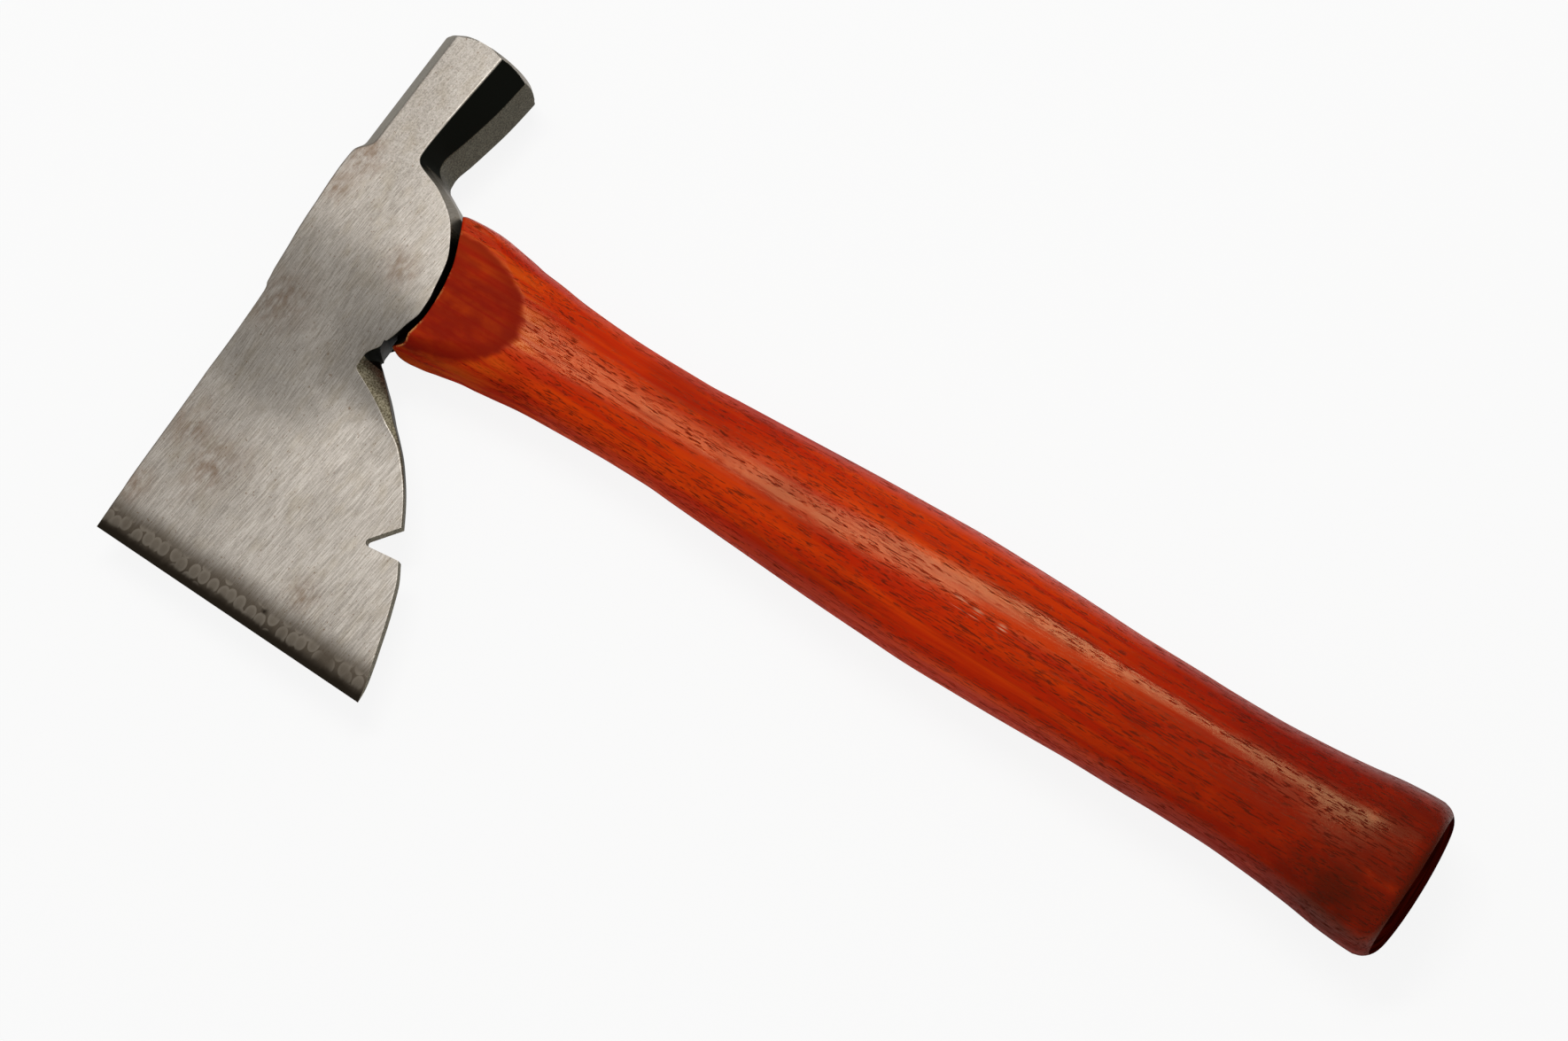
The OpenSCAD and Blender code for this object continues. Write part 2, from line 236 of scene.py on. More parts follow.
def ring_mesh(name: str, rings: Array, axes: HeadAxes) -> Object:
    """Skins rings into one closed piece, with a flat face on the first and the last ring.

    Args:
        name: the piece's name.
        rings: (rings, points, 3) places on the head's axes, in millimetres.
        axes: the head's axes.

    Returns:
        The piece, with its faces outwards.
    """
    count, size, _ = rings.shape
    index = np.arange(count * size).reshape(count, size)
    on = np.roll(index, -1, 1)
    quads = np.stack((index[:-1], on[:-1], on[1:], index[1:]), -1).reshape(-1, 4)
    points = axes.to_frame(rings.reshape(-1, 3))
    a, b, c, d = (points[quads[:, k]] for k in range(4))
    middle = points.mean(0)
    volume = np.einsum("ij,ij->", (a + b + c + d) / 4 - middle, np.cross(c - a, d - b))
    ends = [index[0, ::-1], index[-1]]
    if volume < 0:
        quads, ends = quads[:, ::-1], [end[::-1] for end in ends]
    mesh = bpy.data.meshes.new(name)
    faces = quads.tolist() + [end.tolist() for end in ends]
    mesh.from_pydata(points.tolist(), [], faces)
    return placed(name, mesh)


def clean(mesh: Mesh) -> None:
    """Takes out what a cut leaves: points that coincide, and points inside an edge of two faces.

    Both would give folded faces of no area once the mesh is cut into triangles.

    Args:
        mesh: the mesh to clean.
    """
    work = bmesh.new()
    work.from_mesh(mesh)
    bmesh.ops.dissolve_degenerate(work, dist=WELD, edges=work.edges[:])
    bmesh.ops.dissolve_limit(work, use_dissolve_boundaries=True, verts=work.verts[:], edges=[])
    work.to_mesh(mesh)
    work.free()


def cut(piece: Object, cutters: Sequence[Object]) -> None:
    """Cuts pieces out of another and removes them.

    Args:
        piece: what is cut.
        cutters: closed pieces to take out of it.
    """
    for cutter in cutters:
        cutting = piece.modifiers.new("cut", "BOOLEAN")
        cutting.operation, cutting.solver, cutting.object = "DIFFERENCE", "EXACT", cutter
    graph = bpy.context.evaluated_depsgraph_get()
    done = bpy.data.meshes.new_from_object(piece.evaluated_get(graph))
    piece.modifiers.clear()
    old, piece.data = piece.data, done
    bpy.data.meshes.remove(old)
    done.name = piece.name
    clean(done)
    for cutter in cutters:
        bpy.data.meshes.remove(cutter.data)


def smooth(piece: Object) -> None:
    """Shades a piece smooth, with its sharp edges kept and its wide faces kept flat.

    Args:
        piece: the piece to shade.
    """
    mesh = piece.data
    mesh.polygons.foreach_set("use_smooth", np.ones(len(mesh.polygons), bool))
    mesh.set_sharp_from_angle(angle=SHARP_ANGLE)
    weighted = piece.modifiers.new("wide faces flat", "WEIGHTED_NORMAL")
    weighted.keep_sharp = True


def note(mesh: Mesh, name: str, domain: str, values: Array) -> None:
    """Writes a number on each point or face of a mesh, for its material to read."""
    layer = mesh.attributes.new(name, "FLOAT", domain)
    layer.data.foreach_set("value", values.astype(np.float32))


def rows(items: bpy.types.bpy_prop_collection, what: str) -> Array:
    """Reads three numbers from each point or face of a mesh.

    Args:
        items: the points or faces.
        what: the property to read.

    Returns:
        A row for each of them.
    """
    flat = np.zeros(len(items) * 3)
    items.foreach_get(what, flat)
    return flat.reshape(-1, 3)


# ---- finishes


def linear(colour: str) -> tuple[float, float, float, float]:
    """Turns an sRGB colour into a linear one.

    Args:
        colour: its hex value, such as "#b8b4ac".

    Returns:
        Linear red, green and blue, and 1.
    """
    parts = (int(colour[i : i + 2], 16) / 255 for i in (1, 3, 5))
    r, g, b = (c / 12.92 if c <= 0.04045 else ((c + 0.055) / 1.055) ** 2.4 for c in parts)
    return r, g, b, 1.0


def add(tree: NodeTree, kind: str, settings: Values, inputs: Values) -> Node:
    """Adds a node.

    Args:
        tree: the material's nodes.
        kind: the node's type without "ShaderNode".
        settings: the node's own properties.
        inputs: for an input's name or number, a value or the output that feeds it.

    Returns:
        The node.
    """
    node = tree.nodes.new("ShaderNode" + kind)
    for key, value in settings.items():
        setattr(node, key, value)
    for key, value in inputs.items():
        if isinstance(value, NodeSocket):
            tree.links.new(value, node.inputs[key])
        else:
            node.inputs[key].default_value = value
    return node


@dataclass
class Finish:
    """A material's nodes in the making, with short ways to the few that repeat.

    Args:
        name: the material's name.
        axes: the head's axes, on which patterns are placed in millimetres.
    """

    name: str
    axes: HeadAxes

    def __post_init__(self) -> None:
        """Starts the material with its shader and a millimetre place on the head's axes."""
        self.material = bpy.data.materials.new(self.name)
        self.material.use_nodes = True
        self.tree = self.material.node_tree
        self.shader = self.tree.nodes["Principled BSDF"]
        place = add(self.tree, "TexCoord", {}, {}).outputs["Object"]
        shift = {"Vector": place, "Location": -self.axes.origin, "Scale": [1 / MM] * 3}
        self.place = add(self.tree, "Mapping", {}, shift).outputs[0]
        split = add(self.tree, "SeparateXYZ", {}, {0: self.place}).outputs
        self.drop, self.reach, self.rise = split
        self.colour: Any = None

    def math(self, operation: str, *values: Any) -> NodeSocket:
        """Works out a number from one to three others."""
        settings = {"operation": operation}
        return add(self.tree, "Math", settings, dict(enumerate(values))).outputs[0]

    plus = partialmethod(math, "ADD")
    less = partialmethod(math, "SUBTRACT")
    times = partialmethod(math, "MULTIPLY")
    scaled = partialmethod(math, "MULTIPLY_ADD")  # the first times the second, plus the third
    most = partialmethod(math, "MAXIMUM")

    def noise(self, size: Triple, seed: float, turn: float = 0.0, **settings: float) -> Any:
        """Gives cloudy noise from 0 to 1.

        Args:
            size: its grain along drop, reach and rise, in millimetres.
            seed: shift of the pattern, in grains.
            turn: how far the grain is turned over the cheeks.
            settings: other inputs of the noise.

        Returns:
            The noise's output.
        """
        shift = [-seed * s for s in size]
        scale = {"Vector": self.place, "Scale": size, "Location": shift, "Rotation": (0, 0, turn)}
        vector = add(self.tree, "Mapping", {"vector_type": "TEXTURE"}, scale).outputs[0]
        inputs = {"Vector": vector, "Scale": 1.0, **settings}
        return add(self.tree, "TexNoise", {}, inputs).outputs["Fac"]

    def fade(self, value: Any, low: float, high: float, to: float = 1.0) -> Any:
        """Rises smoothly from 0, where value is low, to a top, where it is high."""
        inputs = {0: value, 1: low, 2: high, 3: 0.0, 4: to}
        return add(self.tree, "MapRange", SMOOTH, inputs).outputs[0]

    def blend(self, share: Any, first: Any, second: Any) -> Any:
        """Mixes two colours, which are hex values or outputs."""
        a, b = (linear(c) if isinstance(c, str) else c for c in (first, second))
        return add(self.tree, "Mix", {"data_type": "RGBA"}, {0: share, 6: a, 7: b}).outputs[2]

    def coat(self, paint: Any, *shares: Any) -> None:
        """Lays a hex value or an output over the colour so far, by the product of the shares."""
        self.colour = self.blend(reduce(self.times, shares), self.colour, paint)

    def spot(self, drop: float, reach: float, size: float, ragged: Any) -> Any:
        """Marks a soft round place on both cheeks.

        Args:
            drop: its middle, down the handle.
            reach: its middle, across the handle.
            size: its radius.
            ragged: noise that tears its outline.

        Returns:
            1 in the middle, falling to 0 about the radius.
        """
        flat = add(self.tree, "CombineXYZ", {}, {0: self.drop, 1: self.reach}).outputs[0]
        inputs = {0: flat, 1: (drop, reach, 0.0)}
        far = add(self.tree, "VectorMath", {"operation": "DISTANCE"}, inputs).outputs["Value"]
        return self.fade(self.scaled(ragged, size, far), *(size * end for end in SPOT_ENDS))

    def noted(self, name: str) -> Any:
        """Reads a number that is written on the mesh."""
        return add(self.tree, "Attribute", {"attribute_name": name}, {}).outputs["Fac"]

    def finish(self, roughness: Any, height: Any, depth: float, metallic: float) -> Material:
        """Feeds the shader with the colour so far and the rest.

        Args:
            roughness: the roughness's output.
            height: relief, from 0 to 1.
            depth: height of that relief, in millimetres.
            metallic: 1 for bare metal, 0 for the rest.

        Returns:
            The material.
        """
        bump = {"Strength": 1.0, "Distance": depth * MM, "Height": height}
        normal = add(self.tree, "Bump", {}, bump).outputs[0]
        feeds = {"Base Color": self.colour, "Roughness": roughness, "Normal": normal}
        for socket, output in feeds.items():
            self.tree.links.new(output, self.shader.inputs[socket])
        self.shader.inputs["Metallic"].default_value = metallic
        return self.material


@dataclass(frozen=True)
class ForgedSteel:
    """Drop-forged carbon steel, its cheeks belt-ground and oiled, its walls left under forge scale.

    Grinding leaves fine bright lines across the cheeks, handling leaves brown smudges, the hardened
    edge has a dark band of temper colour, and the scale on the walls is a dark olive grey.
    """

    ground: str = "#b2aba2"
    shade: str = "#7c756c"
    warm: str = "#85785f"
    smudge: str = "#684f39"
    temper: str = "#50463a"
    edge: str = "#251f18"
    bead: str = "#968d80"
    scale: str = "#7d7663"
    scale_dark: str = "#4f4838"
    # painted shade: the near black laid where the head's mesh marks shade
    painted_shade: str = "#191a16"
    line: Triple = (0.2, 4.5, 3.0)  # grit lines are finer: drawn this wide to show
    line_turn: float = math.radians(-5)
    bead_size: Pair = (3.3, 4.3)
    bead_reach: float = -95.2
    row_half: Pair = (2.6, 1.4)  # half the width of the row of beads
    ground_reach: Pair = (8.0, 26.0)  # where the bright lines get fewer towards the poll
    temper_reach: Pair = (-86.8, -94.6)  # where the temper colour sets in
    dark_reach: Pair = (-97.0, -100.0)  # and where it turns dark
    relief: float = 0.016
    stains: tuple[Triple, ...] = (
        (7, -25, 19), (18, -73, 18), (5, -67, 17), (2, -87, 12), (3, 19, 13), (2, 6, 10),
        (31, -3, 11), (60, -88, 10),
    )  # drop, reach and radius of brown handling marks
    burn: Triple = (53.6, -96.2, 1.6)

    def material(self, axes: HeadAxes) -> Material:
        """Makes the material.

        Args:
            axes: the head's axes.

        Returns:
            The material.
        """
        f = Finish("belt_ground_forged_steel", axes)
        lines = f.noise(self.line, 3.1, self.line_turn, Detail=3.0, Distortion=0.3)
        cloud = f.noise((14, 22, 14), 7.7, Detail=4.0)
        mottle = f.noise((3.5, 7, 3.5), 5.3, Detail=6.0)
        grime = f.noise((1.6, 3.2, 1.6), 1.3, Detail=6.0)
        grain = f.noise((0.45, 0.45, 0.45), 4.9, Detail=2.0)
        fresh = f.less(1.0, f.fade(f.reach, *self.ground_reach, 0.5))
        tone = f.times(f.fade(lines, 0.32, 0.68, 0.62), fresh)
        tone = f.plus(tone, f.fade(cloud, 0.35, 0.7, 0.2))
        worn = f.times(f.fade(grain, 0.35, 0.7), f.scaled(fresh, -0.5, 0.7))
        f.colour = f.blend(f.plus(tone, worn), self.ground, self.shade)
        f.coat(self.warm, f.fade(mottle, 0.45, 0.75, 0.25))
        for place in self.stains:
            stain = f.times(f.spot(*place, cloud), f.fade(grime, 0.25, 0.7, 0.75))
            f.coat(self.smudge, stain)
        pits = f.noise((0.5, 0.9, 0.5), 2.2, Detail=2.0)
        f.coat(self.smudge, f.fade(pits, 0.65, 0.73, 0.7))
        f.coat(self.temper, f.fade(f.scaled(cloud, 5.0, f.reach), *self.temper_reach, 0.92))
        f.coat(self.edge, f.fade(f.scaled(grime, 1.6, f.reach), *self.dark_reach, 0.93))
        per_bead = (1 / self.bead_size[0], 1 / self.bead_size[1], 0)
        cell = add(f.tree, "Mapping", {}, {"Vector": f.place, "Scale": per_bead}).outputs[0]
        cells = {"Vector": cell, "Scale": 1.0, "Randomness": 0.65}
        beads = add(f.tree, "TexVoronoi", {"voronoi_dimensions": "2D"}, cells).outputs["Distance"]
        ragged = f.scaled(cloud, 3.0, f.scaled(grime, 1.2, f.reach))
        row = f.fade(f.math("ABSOLUTE", f.less(ragged, self.bead_reach)), *self.row_half)
        gaps = f.fade(f.noise((13, 60, 13), 6.6), 0.36, 0.5)
        rim = f.plus(f.fade(beads, 0.2, 0.42, 0.16), 0.3)
        f.coat(self.bead, f.fade(beads, 0.52, 0.44), rim, row, gaps)
        f.coat(self.edge, f.spot(*self.burn, grime))
        scale = f.noted("scale")
        skin = f.blend(f.fade(grain, 0.35, 0.65), self.scale_dark, self.scale)
        f.coat(skin, scale)
        # painted shade, near black, over steel and scale where the head's mesh marks it
        f.coat(self.painted_shade, f.noted("painted_shade"))
        rough = f.scaled(lines, 0.14, 0.38)
        rough = f.scaled(scale, 0.1, rough)
        rough = f.scaled(stain, 0.1, rough)  # the last mark is dull too
        relief = f.scaled(grain, f.scaled(scale, 1.0, 0.5), lines)
        return f.finish(rough, relief, self.relief, 1.0)


@dataclass(frozen=True)
class LacqueredHickory:
    """Hickory, stained red-brown and lacquered, with the head's end planed and left dull.

    The stain gathers in the open pores as dark dashes along the grain, the growth rings show as
    long streaks, and the lacquer gives one soft highlight along the handle. Hands have rubbed the
    sides dull.
    """

    light: str = "#d63c01"
    middle: str = "#bd2000"
    deep: str = "#800a00"
    dark: str = "#3c0a02"
    pore: str = "#3d0b04"
    planed: str = "#840600"
    # lighter stain round the planed patch, with a painted highlight where the flat turns
    rim: str = "#cc4e0a"
    bare: str = "#c98a4e"
    # painted shade: colour of the shoulder's face in the gap under the head
    gap_shade: str = "#120402"
    chip: str = "#d89a78"
    vessel: Triple = (3.4, 0.27, 0.27)  # vessels are about 0.2 wide: drawn coarser to show
    patch: tuple[float, float, float, float] = (40.0, -3.0, 29.0, 16.7)  # drop, reach, half sizes
    chips: tuple[Triple, ...] = (
        (206, -2.4, 4), (211, -2.2, 3), (218.5, -2.0, 2.5), (196, -3.5, 3),
    )
    butt: Pair = (205.0, 320.0)  # drops over which the colour deepens towards the end
    foot: Triple = (318.0, -15.0, 28.0)  # dark and blotchy, on the blade's side near the end
    foot_drop: Pair = (292.0, 332.0)
    # drops of the end's rounded rim, darkened as painted shade
    end_drop: Pair = (328.5, 332.6)
    dull_grip: Pair = (230.0, 130.0)  # drops over which the lacquer dulls towards the head
    dull_butt: Pair = (240.0, 325.0)
    dull_reach: Pair = (3.0, 14.0)  # reaches over which the planed patch gets fainter
    worn_reach: Pair = (-9.0, -15.0)  # and over which the shoulder's line is worn to bare wood
    below_reach: Pair = (-4.0, -9.0)  # the dull side of the handle below the patch
    below_drop: Pair = (90.0, 72.0)
    rubbed: Pair = (9.0, 3.0)  # rises over which the sides turn dull
    least_rough: float = 0.1
    relief: float = 0.07
    gloss: float = 0.15  # a thin lacquer over an open grain mirrors less than bulk resin
    amber: str = "#fff5b0"  # and its yellow tint shows in the highlight

    def material(self, axes: HeadAxes) -> Material:
        """Makes the material.

        Args:
            axes: the head's axes.

        Returns:
            The material.
        """
        f = Finish("stained_lacquered_hickory", axes)
        streak = f.noise((90, 3.0, 3.0), 2.4, Detail=5.0, Distortion=0.4)
        fine = f.noise((30, 0.8, 0.8), 6.7, Detail=3.0)
        cloud = f.noise((38, 13, 13), 5.9, Detail=4.0)
        blotch = f.noise((7, 4, 4), 3.3, Detail=4.0)
        f.colour = f.blend(f.fade(streak, 0.32, 0.7), self.middle, self.light)
        f.coat(self.deep, f.fade(fine, 0.5, 0.75, 0.35))
        f.coat(self.deep, f.fade(cloud, 0.45, 0.75, 0.5))
        f.coat(self.deep, f.fade(f.drop, *self.butt), f.fade(blotch, -0.4, 0.6, 0.9))
        # darker towards the end: a dark blotchy place and a darkening over foot_drop
        foot = f.most(f.spot(*self.foot, cloud), f.fade(f.drop, *self.foot_drop, 0.55))
        foot = f.times(foot, f.fade(blotch, -0.1, 0.65, 0.85))
        # painted shade: the end's rounded rim darkens as it turns from the light
        foot = f.most(foot, f.fade(f.drop, *self.end_drop, 0.9))
        f.coat(self.dark, foot)
        drop, reach, long, wide = self.patch
        down = f.math("DIVIDE", f.less(f.drop, drop), long)
        across = f.math("DIVIDE", f.less(f.reach, reach), wide)
        inside = f.plus(f.math("POWER", down, 2.0), f.math("POWER", across, 2.0))
        inside = f.scaled(blotch, 0.3, inside)  # 1 about the patch's oval border
        planed = f.fade(inside, 1.25, 1.05)
        grown = f.scaled(planed, -0.85, 1.0)
        vessel = f.noise(self.vessel, 8.3, Detail=1.0)
        ring = f.noise((110, 2.4, 2.4), 4.4, Detail=2.0)
        pores = f.times(f.fade(vessel, 0.56, 0.61), f.fade(ring, 0.36, 0.5))
        pores = f.times(pores, grown)
        f.coat(self.pore, pores, 0.7)
        # round the patch: lighter stain, and a painted highlight along the flat's edge
        f.coat(self.rim, f.fade(inside, 1.9, 1.3), f.fade(streak, 0.4, 0.6, 0.7))
        dull = f.less(0.95, f.fade(blotch, 0.35, 0.8, 0.35))
        dull = f.less(dull, f.fade(f.reach, *self.dull_reach, 0.35))
        f.coat(self.planed, planed, dull)
        f.coat(self.deep, planed, f.fade(inside, 0.75, 1.05, 0.6))
        for place in self.chips:
            f.coat(self.chip, f.spot(*place, blotch), f.fade(fine, 0.52, 0.6, 0.9))
        worn = f.most(f.fade(f.reach, *self.worn_reach), f.fade(blotch, 0.5, 0.62, 0.6))
        crumbs = f.fade(f.noise((0.9, 0.9, 0.9), 7.2, Detail=3.0), 0.38, 0.55)
        f.coat(self.bare, f.noted("bare"), worn, crumbs)
        # painted shade on the shoulder's face in the gap under the head
        f.coat(self.gap_shade, f.noted("gap_shade"))
        below = f.times(f.fade(f.reach, *self.below_reach, 0.45), f.fade(f.drop, *self.below_drop))
        dulled = (
            f.fade(f.drop, *self.dull_grip, 0.07), f.fade(f.drop, *self.dull_butt, 0.08),
            f.fade(blotch, 0.3, 0.8, 0.06), f.times(f.fade(fine, 0.48, 0.66, 0.1), grown),
            f.times(pores, 0.5), f.fade(f.math("ABSOLUTE", f.rise), *self.rubbed, 0.5),
            f.most(below, f.times(planed, 0.5)),
        )
        rough = reduce(f.plus, dulled, self.least_rough)
        wave = f.noise((26, 5, 5), 9.1, Detail=2.0)
        relief = f.times(f.scaled(fine, 0.3, wave), grown)
        relief = f.scaled(pores, -0.3, relief)
        f.shader.inputs["Specular IOR Level"].default_value = self.gloss
        f.shader.inputs["Specular Tint"].default_value = linear(self.amber)
        return f.finish(rough, relief, self.relief, 0.0)


@dataclass(frozen=True)
class SealedEndGrain:
    """Hickory end grain, soaked dark red-brown with stain and sealer: dull, with faint rings."""

    dark: str = "#240301"
    ring: str = "#3f0802"
    relief: float = 0.08
    gloss: float = 0.0  # open end grain drinks the lacquer and does not mirror

    def material(self, axes: HeadAxes) -> Material:
        """Makes the material for the handle's end.

        Args:
            axes: the head's axes.

        Returns:
            The material.
        """
        f = Finish("sealed_hickory_end_grain", axes)
        rings = f.noise((60, 12, 1.5), 3.7, Detail=3.0)
        dots = f.noise((20, 0.5, 0.5), 8.8, Detail=1.0)
        f.colour = f.blend(f.fade(rings, 0.4, 0.65), self.dark, self.ring)
        rough = f.scaled(dots, 0.25, 0.6)
        f.shader.inputs["Specular IOR Level"].default_value = self.gloss
        return f.finish(rough, dots, self.relief, 0.0)


@dataclass(frozen=True)
class BareHardwood:
    """Bare hardwood end grain: pale, dull and dotted with pores, darkened by oil."""

    name: str = "bare_hardwood_end_grain"
    light: str = "#b98a5a"
    dark: str = "#8a5d35"
    pore: str = "#4a2d18"
    relief: float = 0.05

    def material(self, axes: HeadAxes) -> Material:
        """Makes the material for the wooden wedge or the tenon.

        Args:
            axes: the head's axes.

        Returns:
            The material.
        """
        f = Finish(self.name, axes)
        rings = f.noise((30, 1.6, 1.6), 1.7, Detail=3.0)
        dots = f.noise((12, 0.4, 0.4), 6.1, Detail=1.0)
        f.colour = f.blend(f.fade(rings, 0.35, 0.65), self.light, self.dark)
        f.coat(self.pore, f.fade(dots, 0.6, 0.68, 0.8))
        rough = f.scaled(rings, 0.2, 0.6)
        return f.finish(rough, dots, self.relief, 0.0)


SAWN_TENON = BareHardwood("oiled_sawn_hickory", "#8f5f35", "#6a4122", "#2d1a0e")
WoodFinish = LacqueredHickory | SealedEndGrain | BareHardwood


@dataclass(frozen=True)
class RolledSteel:
    """Hot-rolled wedge steel: blue-grey mill skin, scuffed bright where the hammer drove it."""

    skin: str = "#5b5c5e"
    scuff: str = "#a8a6a0"
    rust: str = "#5d4330"
    relief: float = 0.06

    def material(self, axes: HeadAxes) -> Material:
        """Makes the material for the steel wedges.

        Args:
            axes: the head's axes.

        Returns:
            The material.
        """
        f = Finish("hot_rolled_wedge_steel", axes)
        skin = f.noise((2, 2, 2), 2.9, Detail=5.0)
        spots = f.noise((1.1, 1.1, 1.1), 9.2, Detail=4.0)
        f.colour = f.blend(f.fade(skin, 0.45, 0.7), self.skin, self.scuff)
        f.coat(self.rust, f.fade(spots, 0.58, 0.72, 0.7))
        rough = f.scaled(skin, 0.25, 0.35)
        return f.finish(rough, spots, self.relief, 1.0)


# ---- the head


BEVEL: Curve = (
    (-102, 0.12), (-100, 0.46), (-98, 0.76), (-96, 0.98), (-93, 1.2), (-90, 1.3),
)  # half the thickness by reach, over the edge's bevel


@dataclass
class Head:
    """The forged head: blade, eye block with its lobes, and poll, as sections along the reach.

    A section is a ten-sided closed outline over drop and rise: an upper and a lower cheek, a wall
    towards the head's top with a corner facet each way, and a wall towards the handle whose two
    facets each way can fold in to a valley. The curves give a corner's place by reach.
    """

    axes: HeadAxes
    half_top: Curve = BEVEL + (
        (-84, 1.36), (-75, 1.5), (-65, 1.85), (-57, 2.3), (-52, 2.75), (-47, 3.55), (-43, 4.35),
        (-36, 5.75), (-29, 7.1), (-25, 7.85), (-20, 8.85), (-14, 10.0), (-8, 11.05), (-2, 11.75),
        (4, 12.0), (61, 12.0),
    )
    half_beard: Curve = BEVEL + (
        (-84, 1.33), (-75, 1.36), (-65, 1.38), (-57, 1.4), (-50, 1.45), (-44, 1.6), (-40, 1.85),
        (-36, 2.5), (-32, 3.7), (-28, 5.3), (-24, 7.1), (-20, 8.9), (-16, 10.4), (-12, 11.4),
        (-8, 11.9), (-4, 12.0), (61, 12.0),
    )
    twist: Pair = (18.0, 50.0)  # drops over which the cheek goes from one to the other
    top_wall: Curve = (
        (-102, 0.3), (-92, 0.25), (-86, -0.1), (-76, -0.34), (-65, -0.45), (-53, -0.5), (-47, -0.1),
        (-41.5, 0.38), (-36, 0.72), (-30, 1.03), (-26.6, 1.12), (-25.4, 0.95), (-24.4, 0.52),
        (-22.6, 0.38), (-20.5, 0.2), (-14, 0.1), (-8, -0.15), (0, -0.35), (8, -0.88), (12, -1.05),
        (15.5, -1.0), (17.0, -0.9), (18.2, -1.05), (22.2, -2.0), (23.3, -2.15), (61, -2.15),
    )
    heel: Curve = (
        (-102, 88.9), (-98.6, 88.35), (-92.9, 86.65), (-87.4, 84.75), (-81.9, 82.85),
        (-76.5, 80.75), (-71.2, 78.45), (-66.4, 75.35),
    )
    beard: Curve = (
        (-59.8, 71.2), (-57.5, 69.7), (-52.6, 66.4), (-48.8, 63.35), (-44.8, 59.4), (-41.2, 55.2),
        (-38.5, 49.9), (-35.3, 44.3), (-32.9, 39.5), (-32.1, 37.7), (-31, 35.4), (-30.3, 34.75),
    )
    lobes: Curve = (
        (-12, 43.0), (-10.3, 43.4), (-6.5, 43.3), (-3, 42.63), (4.6, 40.9), (11, 37.3),
        (15.2, 33.8), (20.1, 26.3), (23.8, 17.2), (25.4, 16.3), (27.3, 16.2), (58.2, 17.9),
        (61, 18.1),
    )
    upper_tip: Curve = (
        (-29.3, 34.8), (-28.2, 35.2), (-26.6, 35.5), (-25, 36.5), (-23.2, 38.05), (-21.5, 38.8),
        (-19.5, 39.9), (-17.4, 40.8), (-14.7, 41.8),
    )
    lower_tip: Curve = (
        (-28.2, 34.6), (-26.6, 34.0), (-25, 33.4), (-23.2, 33.0), (-21, 33.0), (-19, 33.8),
        (-17.4, 35.4), (-15.6, 38.4), (-13.8, 41.4),
    )
    ridge_on: Curve = (
        (-59.8, 71.35), (-54.8, 68.15), (-50.7, 65.2), (-47.4, 62.5), (-43.5, 58.95), (-39.9, 54.9),
        (-36.7, 51.0), (-32.6, 46.5), (-29.1, 42.25), (-26.6, 39.2), (-25.2, 37.65), (-24.4, 38.6),
        (-23, 40.6), (-19, 43.0), (-13.9, 45.0), (-7.2, 45.3), (0.7, 43.8), (6.7, 41.8), (12, 39.3),
        (15.8, 36.3), (18.8, 33.0), (20.2, 30.7), (21.7, 27.7), (23.2, 24.7), (24.7, 21.7),
        (26.7, 20.2), (29, 19.9), (34.7, 21.2), (40.4, 22.4), (48.65, 23.9), (56.6, 24.8),
        (61, 25.2),
    )
    ridge_half: Curve = (
        (-102, 0.08), (-98, 0.5), (-90, 0.9), (-59, 1.1), (-47, 1.1), (-40, 1.6), (-36, 2.0),
        (-32, 1.7), (-29, 1.1), (-26.6, 0.6), (-24, 0.3), (18, 0.3), (20, 1.5), (22.5, 3.5),
        (25.5, 5.5), (27.5, 6.0), (61, 6.0),
    )
    valley_drop: Curve = (
        (-31.2, 36.2), (-30.4, 35.0), (-29.4, 35.3), (-28.3, 35.7), (-27.1, 36.1), (-26, 36.8),
        (-25.1, 37.4), (-24.2, 38.2),
    )
    valley_rise: Curve = (
        (-31.2, 5.2), (-30.4, 5.5), (-29.4, 5.6), (-28.3, 4.9), (-27.1, 3.7), (-26, 2.4),
        (-25.1, 1.3), (-24.2, 1.0),
    )
    collar_drop: Curve = (
        (9, 0.0), (10, 0.3), (14, 1.0), (17.3, 1.7), (20.2, 1.3), (22, 0.9), (24.5, 0.0),
    )
    collar_rise: Curve = (
        (9, 0.0), (10, 1.0), (14, 2.0), (17.3, 2.5), (20.2, 1.7), (22, 1.0), (24.5, 0.0),
    )
    # 0 for the block's section, 1 for the poll's
    poll_share: Curve = (
        (-102, 0.0), (16.9, 0.0), (17.5, 0.04), (22.3, 0.95), (23.3, 1.0), (61, 1.0),
    )
    arris: float = 0.25  # the small chamfer along the top wall
    facet_width: float = 5.3  # the poll's corner facets, along the drop
    facet_rise: float = 6.0
    face_reach: float = 61.0
    face_drop: float = 11.4
    face_radius: float = 11.9
    rim_slope: float = 1 / math.tan(math.radians(38))
    edge_round: float = 0.35
    eye_length: float = 35.0
    eye_width: float = 17.0
    eye_taper: Pair = (3.0, 2.0)  # what the eye gains at the top
    eye_depth: float = 43.0
    eye_bow: float = 2.2  # more makes its sides straighter
    eye_cut: Pair = (-6.0, 52.0)  # drops between which the eye is cut
    throat: Curve = ((-8.5, 33.2), (0.0, 37.8), (8.5, 38.3))  # rises, and drops where it starts
    throat_end: Pair = (54.0, -25.3)  # the drop and the reach where it ends
    throat_round: float = 1.6
    # corners of the nail notch over drop and reach
    notch: Curve = ((79.5, -47.5), (64.6, -66.6), (65.6, -67.75), (84.0, -65.45))
    notch_round: float = 0.8
    notch_half: float = 9.0
    fold_in: Pair = (-31.2, -30.2)  # reaches over which the wall folds in to the valley
    fold_out: Pair = (-25.2, -24.2)
